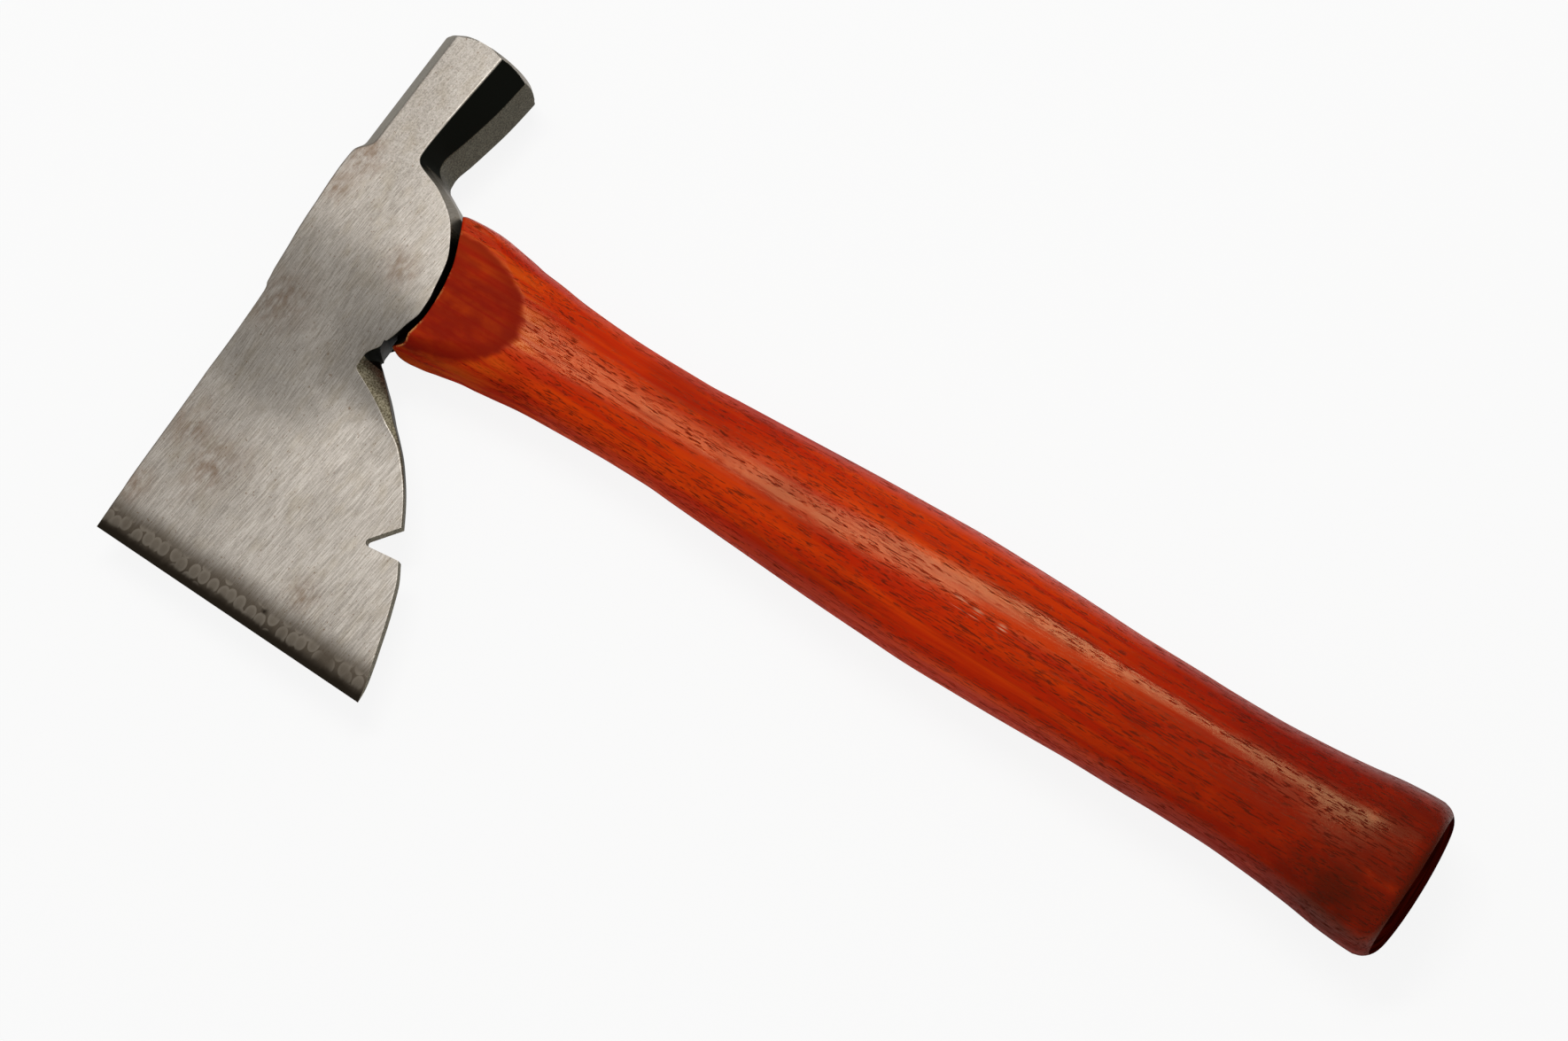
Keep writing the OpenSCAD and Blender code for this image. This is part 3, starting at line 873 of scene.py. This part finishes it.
    # reach and radius of the circles on the crowned face
    crown: Curve = ((60.9, 11.0), (60.93, 9.5), (60.96, 6.0), (60.99, 3.0), (61.0, 0.3))
    rim_reach: float = 50.0  # the turned rim lies past this
    stations: tuple[Triple, ...] = (
        (-102, -95, 0.35), (-95, -68, 1.0), (-68, -58, 0.8), (-58, -34, 0.7), (-34, -19, 0.3),
        (-19, 15, 1.0), (15, 29, 0.35), (29, 54, 1.2), (54, 60.8, 0.22),
    )  # start, end and spacing of the sections
    sides: tuple[int, ...] = (48, 5, 5, 5, 5, 5, 48, 5, 6, 5)

    @property
    def cheek_end(self) -> Curve:
        """The drop at which the upper cheek ends."""
        return self.heel + self.beard + self.upper_tip + self.lobes

    @property
    def low_end(self) -> Curve:
        """The drop at which the lower cheek ends."""
        return self.heel + self.beard + self.lower_tip + self.lobes

    @property
    def ridge(self) -> Curve:
        """The drop of the wall's ridge, at no rise."""
        return self.heel + self.ridge_on

    def thickness(self, drop: Array, reach: Array) -> Array:
        """Gives half the thickness: half_top, going smoothly to half_beard over the twist."""
        share = ramp(*self.twist, drop)
        return eased(self.half_top, reach) * (1 - share) + eased(self.half_beard, reach) * share

    def eye_oval(self, drop: Array, angle: Array, clear: float) -> Array:
        """Gives the eye's outline: a half circle at each end, joined by slightly bowed sides.

        With W and L the width and length at that drop, reach is W/2 cos a plus (L - W)/2 times
        eye_bow cos a, held between -1 and 1, and rise is W/2 sin a.

        Args:
            drop: places down the handle.
            angle: places round the outline.
            clear: room taken off all round.

        Returns:
            (drops, angles, 3) places.
        """
        share = 1 - drop[:, None] / self.eye_depth
        half_length = (self.eye_length + self.eye_taper[0] * share) / 2 - clear
        half_width = (self.eye_width + self.eye_taper[1] * share) / 2 - clear
        offset = (half_length - half_width) * np.clip(self.eye_bow * np.cos(angle), -1, 1)
        reach = half_width * np.cos(angle) + offset
        rise = half_width * np.sin(angle)
        return np.stack((drop[:, None] + 0 * reach, reach, rise), -1)

    def sections(self, reach: Array) -> Array:
        """Gives the rounded sections at a list of reaches.

        Args:
            reach: the stations.

        Returns:
            (stations, points, 2) places over drop and rise.
        """
        poll = eased(self.poll_share, reach)
        top = eased(self.top_wall, reach)
        half = self.thickness(top, reach)
        arris = np.minimum(self.arris, 0.3 * half)  # less where the blade is thin
        left = top + arris * (1 - poll) + self.facet_width * poll
        wall = (half - arris) * (1 - poll) + self.facet_rise * poll
        right, low = eased(self.cheek_end, reach), eased(self.low_end, reach)
        left_rise, right_rise, low_rise = (self.thickness(d, reach) for d in (left, right, low))
        ridge = eased(self.ridge, reach)
        ridge_half = np.minimum(eased(self.ridge_half, reach), 0.75 * right_rise)
        folded = ramp(*self.fold_in, reach) * (1 - ramp(*self.fold_out, reach))
        bulge_drop, bulge_rise = eased(self.collar_drop, reach), eased(self.collar_rise, reach)
        fold_drop = (right + ridge) / 2 + bulge_drop
        fold_drop = fold_drop * (1 - folded) + eased(self.valley_drop, reach) * folded
        fold_rise = (right_rise + ridge_half) / 2 + bulge_rise
        fold_rise = fold_rise * (1 - folded) + eased(self.valley_rise, reach) * folded
        low_drop = (ridge + low) / 2 + bulge_drop
        low_fold = (low_rise + ridge_half) / 2 + bulge_rise
        corners = (
            (left, left_rise), (right, right_rise), (fold_drop, fold_rise),
            (ridge, ridge_half), (ridge, -ridge_half), (low_drop, -low_fold),
            (low, -low_rise), (left, -left_rise), (top, -wall), (top, wall),
        )
        places = np.stack([np.stack(corner, -1) for corner in corners], 1)
        rings = rounded_rings(places, np.minimum(self.edge_round, 0.4 * right_rise), self.sides)
        for side, sign in ((0, 1), (6, -1)):
            cheek = side_slice(self.sides, side)
            rings[:, cheek, 1] = sign * self.thickness(rings[:, cheek, 0], reach[:, None])
        return rings

    def block(self) -> Object:
        """Skins the head without its openings.

        A section's points that lie further from the poll's axis than the turned rim, whose radius
        is face_radius + (face_reach - reach) * rim_slope, are drawn in to it, and the crowned face
        goes on with smaller circles.

        Returns:
            The closed block.
        """
        reach = spread(*self.stations)
        rim = self.face_radius + (self.face_reach - reach) * self.rim_slope
        crown_reach, crown_radius = np.array(self.crown).T
        radius = np.concatenate((rim, crown_radius))[:, None, None]
        reach = np.concatenate((reach, crown_reach))
        rings = self.sections(reach)
        axis = np.array((self.face_drop, 0))
        far = np.linalg.norm(rings - axis, axis=2, keepdims=True)
        drawn = axis + (rings - axis) * np.minimum(1, radius / np.maximum(far, TINY))
        rings = np.where((reach > self.rim_reach)[:, None, None], drawn, rings)
        across = np.broadcast_to(reach[:, None, None], rings[..., :1].shape)
        places = np.concatenate((rings[..., :1], across, rings[..., 1:]), 2)
        return ring_mesh("forged_head", places, self.axes)

    def openings(self) -> list[Object]:
        """Makes the pieces to cut out: the eye, the throat between the lobes and the nail notch.

        Returns:
            Three closed pieces.
        """
        angle = np.linspace(0, 2 * np.pi, 96, endpoint=False)
        eye = self.eye_oval(np.linspace(*self.eye_cut, 9), angle, 0.0)
        rise, back = np.array(self.throat).T
        walls = np.zeros((len(rise), 4, 2))
        walls[:, 0, 0] = walls[:, 3, 0] = back
        walls[:, 1:3, 0], walls[:, :2, 1] = self.throat_end
        throat = rounded_rings(walls, np.full(len(rise), self.throat_round), (4, 4, 4, 4))
        outline = np.array((self.notch, self.notch))
        notch = rounded_rings(outline, np.full(2, self.notch_round), (6, 2, 6, 6))
        through = np.array((-self.notch_half, self.notch_half))
        shapes = {"eye": eye, "throat": raised(throat, rise), "notch": raised(notch, through)}
        return [ring_mesh(name, rings, self.axes) for name, rings in shapes.items()]

    def build(self) -> Object:
        """Builds the head and notes which of its faces are under scale and where shade is painted.

        Returns:
            The piece.
        """
        piece = self.block()
        cut(piece, self.openings())
        mesh = piece.data
        down, out, up = rows(mesh.polygons, "normal").T
        up = np.abs(up)
        drop, reach, rise = self.axes.from_metres(rows(mesh.polygons, "center")).T
        end = np.where(rise > 0, eased(self.cheek_end, reach), eased(self.low_end, reach))
        # Scale covers what is turned away from the cheeks or lies past their ends, and less of
        # the poll's face, the top wall and the hollow under the poll.
        face = ramp(0.5, 0.8, out) * (reach > self.rim_reach)
        flank = ramp(0.1, 0.4, drop - end) * (reach > -70) * (1 - face)
        scale = np.maximum(1 - ramp(0.72, 0.86, up), flank)
        top = ramp(0.6, 0.9, -down) * ramp(-60, -16, reach)
        collar = ramp(12, 15, reach) * (reach < 24) * (drop > 20)
        note(mesh, "scale", "FACE", scale * (1 - 0.8 * face) * (1 - 0.7 * top) * (1 - 0.6 * collar))
        # Shade is painted near black on the poll's facets and wall, which are turned from the
        # light, in the recess of the throat and eye round the handle, along the beard's wall and on
        # the lower lobe, all of which lie in shade.
        facet = scale * ramp(0.3, 0.5, up) * ramp(11, 13, drop) * (reach > 22)
        wall = 0.5 * scale * ramp(0.2, 0.5, down) * ramp(20, 24, reach)
        inside = (drop > 5) * (drop < 46) * ramp(0.3, 0.5, down) * (reach > -27)
        inside = inside * (1 - ramp(9, 14, reach))
        strip = 0.7 * (1 - ramp(0.2, 0.45, up)) * (reach > -60) * (reach < -27) * flank
        below = (rise < 0) * (reach > -30) * (reach < -8) * (drop > 28)
        dark = np.maximum(facet, wall) * (1 - face) + np.maximum(inside * scale, strip) + below
        note(mesh, "painted_shade", "FACE", np.clip(dark, 0, 1))
        smooth(piece)
        return piece

    def dress(self, piece: Object, steel: ForgedSteel) -> None:
        """Gives the head its finish and its place in the frame.

        Args:
            piece: the head.
            steel: its finish.
        """
        piece.data.materials.clear()
        piece.data.materials.append(steel.material(self.axes))
        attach(piece, BODY)
        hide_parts("head")


# ---- the handle


@dataclass(frozen=True)
class Wedge:
    """A wedge's sizes: depth, width, thickness at the top and tip, place, and room in its slot."""

    depth: float
    width: float
    top: float
    tip: float
    reach: float
    room: float
    along: bool  # set along the eye, or else across it


WEDGES: dict[str, Wedge] = {
    "wooden_wedge": Wedge(30.0, 60.0, 4.0, 1.0, 0.0, 0.05, True),
    "steel_wedge_front": Wedge(17.0, 12.1, 2.2, 0.6, -9.0, 0.35, False),
    "steel_wedge_rear": Wedge(17.0, 12.1, 2.2, 0.6, 9.0, 0.35, False),
}


@dataclass
class Handle:
    """The hickory handle: a tenon through the eye, a shoulder under the lobes, and the grip.

    The grip is a superellipse carried down the handle: with half width a, half thickness b and
    squareness p, reach is a |cos t|^(2/p) and rise is b |sin t|^(2/p), with their signs.
    """

    axes: HeadAxes
    head: Head
    width: Curve = (
        (25, 38.0), (33.5, 39.0), (37, 39.8), (41, 40.1), (45, 40.0), (50, 38.9), (57, 36.8),
        (62, 35.5), (68, 34.3), (74, 32.9), (77, 32.4), (87, 31.35), (96, 30.7), (106, 30.4),
        (116, 30.4), (126, 31.4), (145, 33.2), (173, 35.8), (188, 36.75), (200, 37.4), (209, 37.2),
        (224, 36.65), (236, 35.9), (248, 35.1), (262, 34.95), (272, 34.6), (284, 34.75),
        (295.5, 35.95), (308, 38.1), (320, 41.0), (327, 41.7), (333.5, 41.4),
    )
    centre: Curve = (
        (25, -1.8), (33.5, -1.3), (37, -0.9), (41, -0.65), (45, -0.25), (50, 0.15), (57, 0.3),
        (62, 0.1), (68, 0.15), (77, 0.05), (92, -0.1), (110, 0.0), (333.5, 0.0),
    )
    thickness: Curve = (
        (25, 27.0), (45, 27.0), (57, 24.0), (64, 22.9), (72, 22.1), (80, 21.4), (90, 20.8),
        (106, 20.5), (145, 22.6), (175, 25.6), (209.5, 27.0), (245, 26.2), (276.5, 25.5),
        (300, 26.8), (322.5, 30.0), (333.5, 30.0),
    )
    shoulder_flat: Curve = (
        (-22, 42.8), (-16.7, 43.7), (-10.2, 44.6), (-3.1, 44.0), (3.5, 42.7), (12.4, 38.9),
        (17.3, 36.3), (20.7, 33.5),
    )
    poll_square: Curve = (
        (25, 5.0), (40, 5.0), (46, 4.0), (54, 3.2), (64, 3.0), (106, 2.4), (333.5, 2.4),
    )
    blade_square: Curve = ((25, 3.4), (60, 3.4), (82, 2.8), (106, 2.4), (333.5, 2.4))
    flat: float = 11.0  # half the thickness over the planed flats, at the shoulder
    flat_slope: float = 0.013  # and how it grows down the handle
    flat_run: Pair = (45.0, 100.0)  # drops from which it grows, and at which it ends
    end_drop: float = 333.5
    crown: Pair = (0.9, 0.1)  # how far the end falls off
    crown_span: Pair = (18.0, 13.0)  # at this reach and at this rise
    end_round: float = 4.3
    end_inner: float = 0.76  # share of the end's size inside the rounding
    end_rings: tuple[float, ...] = (0.6, 0.4, 0.2, 0.02)
    sealed_depth: float = 1.15  # how far the sealer runs down from the end
    proud: float = 1.2  # how far the tenon stands out of the eye
    top_slope: float = math.tan(math.radians(3))
    gap: float = 0.6  # between the head's ridge and the shoulder
    tenon_room: float = 0.1
    lip: Triple = (1.0, 0.975, 0.95)  # what the tenon's top is drawn in to
    lip_drop: float = 0.4
    tongue_drop: float = 38.6  # of the tongue between the lobes, with the rises and reaches
    tongue_rise: Pair = (9.5, 2.5)  # over which it sets in
    tongue_reach: Pair = (-0.6, -1.6)
    least_drop: float = 33.2  # where the shoulder stops on the poll's side
    arris: float = 0.45
    waist: float = 80.0  # the rings' spacing changes at this drop
    ring_counts: tuple[int, int] = (90, 250)  # above and below it
    marks_end: float = 60.0  # no bare wood or painted gap shade past this drop
    points: int = 176

    def section(self, drop: Array, angle: Array) -> Array:
        """Gives the grip's outline, planed flat where it is thicker than the head.

        Args:
            drop: places down the handle, of the angles' shape or one that spreads to it.
            angle: places round the outline.

        Returns:
            (..., 3) places.
        """
        c, s = np.cos(angle), np.sin(angle)
        square = np.where(c > 0, eased(self.poll_square, drop), eased(self.blade_square, drop))
        power = 2 / square
        reach = eased(self.width, drop) / 2 * np.sign(c) * np.abs(c) ** power
        reach = reach + eased(self.centre, drop)
        rise = eased(self.thickness, drop) / 2 * np.sign(s) * np.abs(s) ** power
        flat = self.flat + self.flat_slope * np.maximum(drop - self.flat_run[0], 0)
        rise = np.where(drop < self.flat_run[1], np.clip(rise, -flat, flat), rise)
        return np.stack(np.broadcast_arrays(drop, reach, rise), -1)

    def shoulder(self, reach: Array, rise: Array) -> Array:
        """Gives the shoulder's drop: along the lobes' wall, or the tongue between the lobes.

        Between the ridge and a gap, at no rise, and the curve shoulder_flat, at the flats, it goes
        with the square of the rise.

        Args:
            reach: places across the handle.
            rise: places over the middle plane.

        Returns:
            Drops of the shoulder.
        """
        share = np.clip(rise / self.flat, -1, 1) ** 2
        ridge = eased(self.head.ridge, reach) + self.gap
        under = ridge * (1 - share) + eased(self.shoulder_flat, reach) * share
        tongue = ramp(*self.tongue_rise, np.abs(rise)) * ramp(*self.tongue_reach, reach)
        return np.maximum(under, self.least_drop) * (1 - tongue) + self.tongue_drop * tongue

    def end(self, reach: Array, rise: Array) -> Array:
        """Gives the crowned end's drop, which falls off with the squares of reach and rise."""
        (fall, fall_rise), (span, span_rise) = self.crown, self.crown_span
        return self.end_drop - fall * (reach / span) ** 2 - fall_rise * (rise / span_rise) ** 2

    def rings(self) -> Array:
        """Carries the outline from the tenon's top, over the shoulder, down to the end.

        Returns:
            (rings, points, 3) places.
        """
        angle = np.linspace(0, 2 * np.pi, self.points, endpoint=False)
        step = np.linspace(0, 1, 12)[:, None, None]
        tenon_drops = np.array((0.0, self.head.eye_depth))
        tenon_top, tenon_low = self.head.eye_oval(tenon_drops, angle, self.tenon_room)
        tenon_low[:, 0] = self.shoulder(tenon_low[:, 1], tenon_low[:, 2])
        tenon_top[:, 0] = -self.proud - self.top_slope * tenon_top[:, 1]
        below = tenon_top + np.array((self.lip_drop, 0, 0))
        tenon = below * (1 - step) + tenon_low * step

        outer = self.section(np.full_like(angle, self.flat_run[0]), angle)
        for _ in range(4):
            outer = self.section(self.shoulder(outer[:, 1], outer[:, 2]), angle)
        flatten = np.array((0, 1, 1))
        out = outer / np.linalg.norm(outer * flatten, axis=1, keepdims=True) * flatten
        rim = outer - out * self.arris
        fan = tenon_low * (1 - step) + rim * step
        fan[..., 0] = self.shoulder(fan[..., 1], fan[..., 2])
        turn = np.linspace(0, np.pi / 2, 4)[1:, None, None]
        edge = outer - out * self.arris * (1 - np.sin(turn))
        edge[..., 0] = self.shoulder(outer[:, 1], outer[:, 2])
        edge[..., 0] += self.arris * (1 - np.cos(turn[..., 0]))

        first = edge[-1, :, 0]
        upper = first + (self.waist - first) * np.linspace(0, 1, self.ring_counts[0])[1:, None]
        last_section = self.section(np.full_like(angle, self.end_drop), angle)
        last = self.end(last_section[:, 1], last_section[:, 2]) - self.end_round
        along = np.linspace(0, 1, self.ring_counts[1])[1:, None]
        lower = self.waist + (last - self.waist) * along
        body = self.section(np.concatenate((upper, lower)), angle)

        inner, outside = self.end_inner, 1 - self.end_inner
        rounding = inner + outside * np.cos(np.linspace(0.15, np.pi / 2, 9))
        scale = np.concatenate((rounding, self.end_rings))[:, None, None]
        cap = last_section * np.where(flatten, scale, 1)
        q = np.clip((scale[..., 0] - inner) / outside, 0, 1)
        cap[..., 0] = self.end(cap[..., 1], cap[..., 2]) - self.end_round * (1 - np.sqrt(1 - q**2))
        lip = tenon_top * np.array(self.lip)
        return np.concatenate((lip[None], tenon, fan[1:], edge, body, cap))

    def slots(self) -> list[Object]:
        """Makes the tapered slots to cut for the wedges, run on above the tenon's top.

        A slot's half thickness goes in a straight line from the wedge's top to its tip, with room
        to spare all round.

        Returns:
            Three closed pieces.
        """
        pieces: list[Object] = []
        above = 3.0
        for name, wedge in WEDGES.items():
            share = np.array((-above / wedge.depth, 1.0))
            half = (wedge.top + (wedge.tip - wedge.top) * share) / 2 + wedge.room
            drop = -self.proud + share * wedge.depth
            side = np.array(((-1, -1), (1, -1), (1, 1), (-1, 1)), float)
            ring = np.zeros((2, 4, 3))
            ring[..., 0] = drop[:, None]
            thin, wide = (2, 1) if wedge.along else (1, 2)
            ring[..., thin] = half[:, None] * side[:, 0]
            ring[..., wide] = wedge.width / 2 * side[:, 1]
            ring[..., 1] += wedge.reach
            pieces.append(ring_mesh(name + "_slot", ring, self.axes))
        return pieces

    def build(self) -> Object:
        """Builds the handle with its wedge slots and notes its bare and end-grain wood.

        Returns:
            The piece.
        """
        piece = ring_mesh("hickory_handle", self.rings(), self.axes)
        cut(piece, self.slots())
        mesh = piece.data
        drop, reach, rise = self.axes.from_metres(rows(mesh.vertices, "co")).T
        past = drop - self.shoulder(reach, rise)
        line = ramp(0.05, 0.2, past) * (1 - ramp(0.3, 0.65, past))
        near = drop < self.marks_end
        note(mesh, "bare", "POINT", np.where(near, line, 0))
        # painted shade: the shoulder's face in the gap under the head turns near black
        note(mesh, "gap_shade", "POINT", np.where(near, 1 - ramp(0, 0.12, past), 0))
        drop, reach, rise = self.axes.from_metres(rows(mesh.polygons, "center")).T
        sealed = drop > self.end(reach, rise) - self.sealed_depth
        sawn = drop < 0
        mesh.polygons.foreach_set("material_index", (sealed + 2 * sawn).astype(np.int32))
        smooth(piece)
        return piece

    def dress(self, piece: Object, *finishes: WoodFinish) -> None:
        """Gives the handle its finishes and its place in the frame.

        Args:
            piece: the handle.
            finishes: of its lacquered, sealed and sawn wood, in that order.
        """
        for finish in finishes:
            piece.data.materials.append(finish.material(self.axes))
        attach(piece, BODY)
        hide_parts("handle")


# ---- the stage


@dataclass
class Studio:
    """The floor, the light and the camera."""

    place: Triple = (0.21660, -0.13364, 0.72238)
    aim: Triple = (-0.012203, 0.016089, 0.015)
    roll: float = math.radians(23.2909)
    lens: float = 69.07
    sensor: float = 36.0
    floor_size: float = 6.0
    floor_touch: Pair = (0.157, -0.0002)  # the frame's x and z where the handle's end touches it
    floor_tilt: float = 0.003 / 0.324  # so that the head touches it too
    paper_glow: float = 0.9  # how much of what is seen of the floor is plain white
    room: Pair = (0.28, 0.46)  # the room's light at the horizon and overhead
    room_top: float = 0.7
    box_place: Triple = (-0.27, 0.36, 1.0)
    box_along: Triple = (0.64, 0.77, 0.0)
    box_size: Pair = (0.65, 0.2)
    box_power: float = 5.2

    def camera(self) -> None:
        """Puts the camera where the photograph was taken."""
        data = bpy.data.cameras.new("camera")
        data.lens, data.sensor_width, data.sensor_fit = self.lens, self.sensor, "HORIZONTAL"
        data.clip_start, data.clip_end = 0.01, 50.0
        camera = placed("camera", data)
        way = Vector(self.aim) - Vector(self.place)
        turn = way.to_track_quat("-Z", "Y").to_matrix().to_4x4()
        roll = Matrix.Rotation(-self.roll, 4, "Z")
        camera.matrix_world = Matrix.Translation(self.place) @ turn @ roll
        bpy.context.scene.camera = camera

    def floor(self) -> None:
        """Lays a pale floor that touches the handle's end and the head, and keeps their shadow."""
        corner = np.array(((-1, -1), (1, -1), (1, 1), (-1, 1))) * self.floor_size
        x, z = self.floor_touch
        height = (x - corner[:, :1]) * self.floor_tilt + z
        mesh = bpy.data.meshes.new("floor")
        mesh.from_pydata(np.hstack((corner, height)).tolist(), [], [(0, 1, 2, 3)])
        floor = placed("floor", mesh)
        material = bpy.data.materials.new("matt_white_paper")
        material.use_nodes = True
        tree = material.node_tree
        tree.nodes.clear()
        path = add(tree, "LightPath", {}, {}).outputs
        most, times = {"operation": "MAXIMUM"}, {"operation": "MULTIPLY"}
        seen = path["Is Camera Ray"]
        for ray in ("Is Glossy Ray", "Is Transmission Ray"):
            seen = add(tree, "Math", most, {0: seen, 1: path[ray]}).outputs[0]
        share = add(tree, "Math", times, {0: seen, 1: self.paper_glow}).outputs[0]
        paper = add(tree, "BsdfDiffuse", {}, {"Color": linear("#f4f4f2")})
        glow = add(tree, "Emission", {}, {"Color": linear("#fdfdfd"), "Strength": 1.0})
        mixed = add(tree, "MixShader", {}, {0: share, 1: paper.outputs[0], 2: glow.outputs[0]})
        add(tree, "OutputMaterial", {}, {"Surface": mixed.outputs[0]})
        mesh.materials.append(material)

    def light(self) -> None:
        """Lights the object with a long soft box over the poll's side and a dim, pale room."""
        world = bpy.data.worlds.new("pale_room")
        bpy.context.scene.world = world
        world.use_nodes = True
        tree = world.node_tree
        way = add(tree, "TexCoord", {}, {}).outputs["Generated"]
        height = add(tree, "SeparateXYZ", {}, {0: way}).outputs["Z"]
        levels = {0: height, 1: 0.0, 2: self.room_top, 3: self.room[0], 4: self.room[1]}
        level = add(tree, "MapRange", SMOOTH, levels).outputs[0]
        room = tree.nodes["Background"]
        room.inputs["Color"].default_value = linear("#ffffff")
        tree.links.new(level, room.inputs["Strength"])
        data = bpy.data.lights.new("soft_box", "AREA")
        data.shape, data.size, data.size_y = "RECTANGLE", *self.box_size
        data.energy = self.box_power
        lamp = placed("soft_box", data)
        back = Vector(self.box_place).normalized()
        side = Vector(self.box_along) - back * back.dot(Vector(self.box_along))
        side.normalize()
        turn = Matrix((side, back.cross(side), back)).transposed().to_4x4()
        lamp.matrix_world = Matrix.Translation(self.box_place) @ turn

    def build(self) -> None:
        """Sets the whole stage."""
        self.camera()
        self.floor()
        self.light()


def main() -> None:
    """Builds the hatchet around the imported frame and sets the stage."""
    logging.basicConfig(level=logging.INFO, format="%(name)s: %(message)s")
    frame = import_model()
    bpy.context.scene.view_settings.view_transform = "Standard"
    Studio().build()
    axes = HeadAxes.from_frame(Handle.end_drop, Head.face_reach)
    head = Head(axes)
    piece = head.build()
    head.dress(piece, ForgedSteel())
    LOG.info("%s: %d faces", piece.name, len(piece.data.polygons))
    handle = Handle(axes, head)
    piece = handle.build()
    handle.dress(piece, LacqueredHickory(), SealedEndGrain(), SAWN_TENON)
    LOG.info("%s: %d faces", piece.name, len(piece.data.polygons))
    wood, steel = BareHardwood().material(axes), RolledSteel().material(axes)
    for name, wedge in WEDGES.items():
        node = frame["nodes"][name]
        node.data.materials.clear()
        node.data.materials.append(wood if wedge.along else steel)
        LOG.info("%s: CAD shape, new finish", name)


if __name__ == "__main__":
    main()
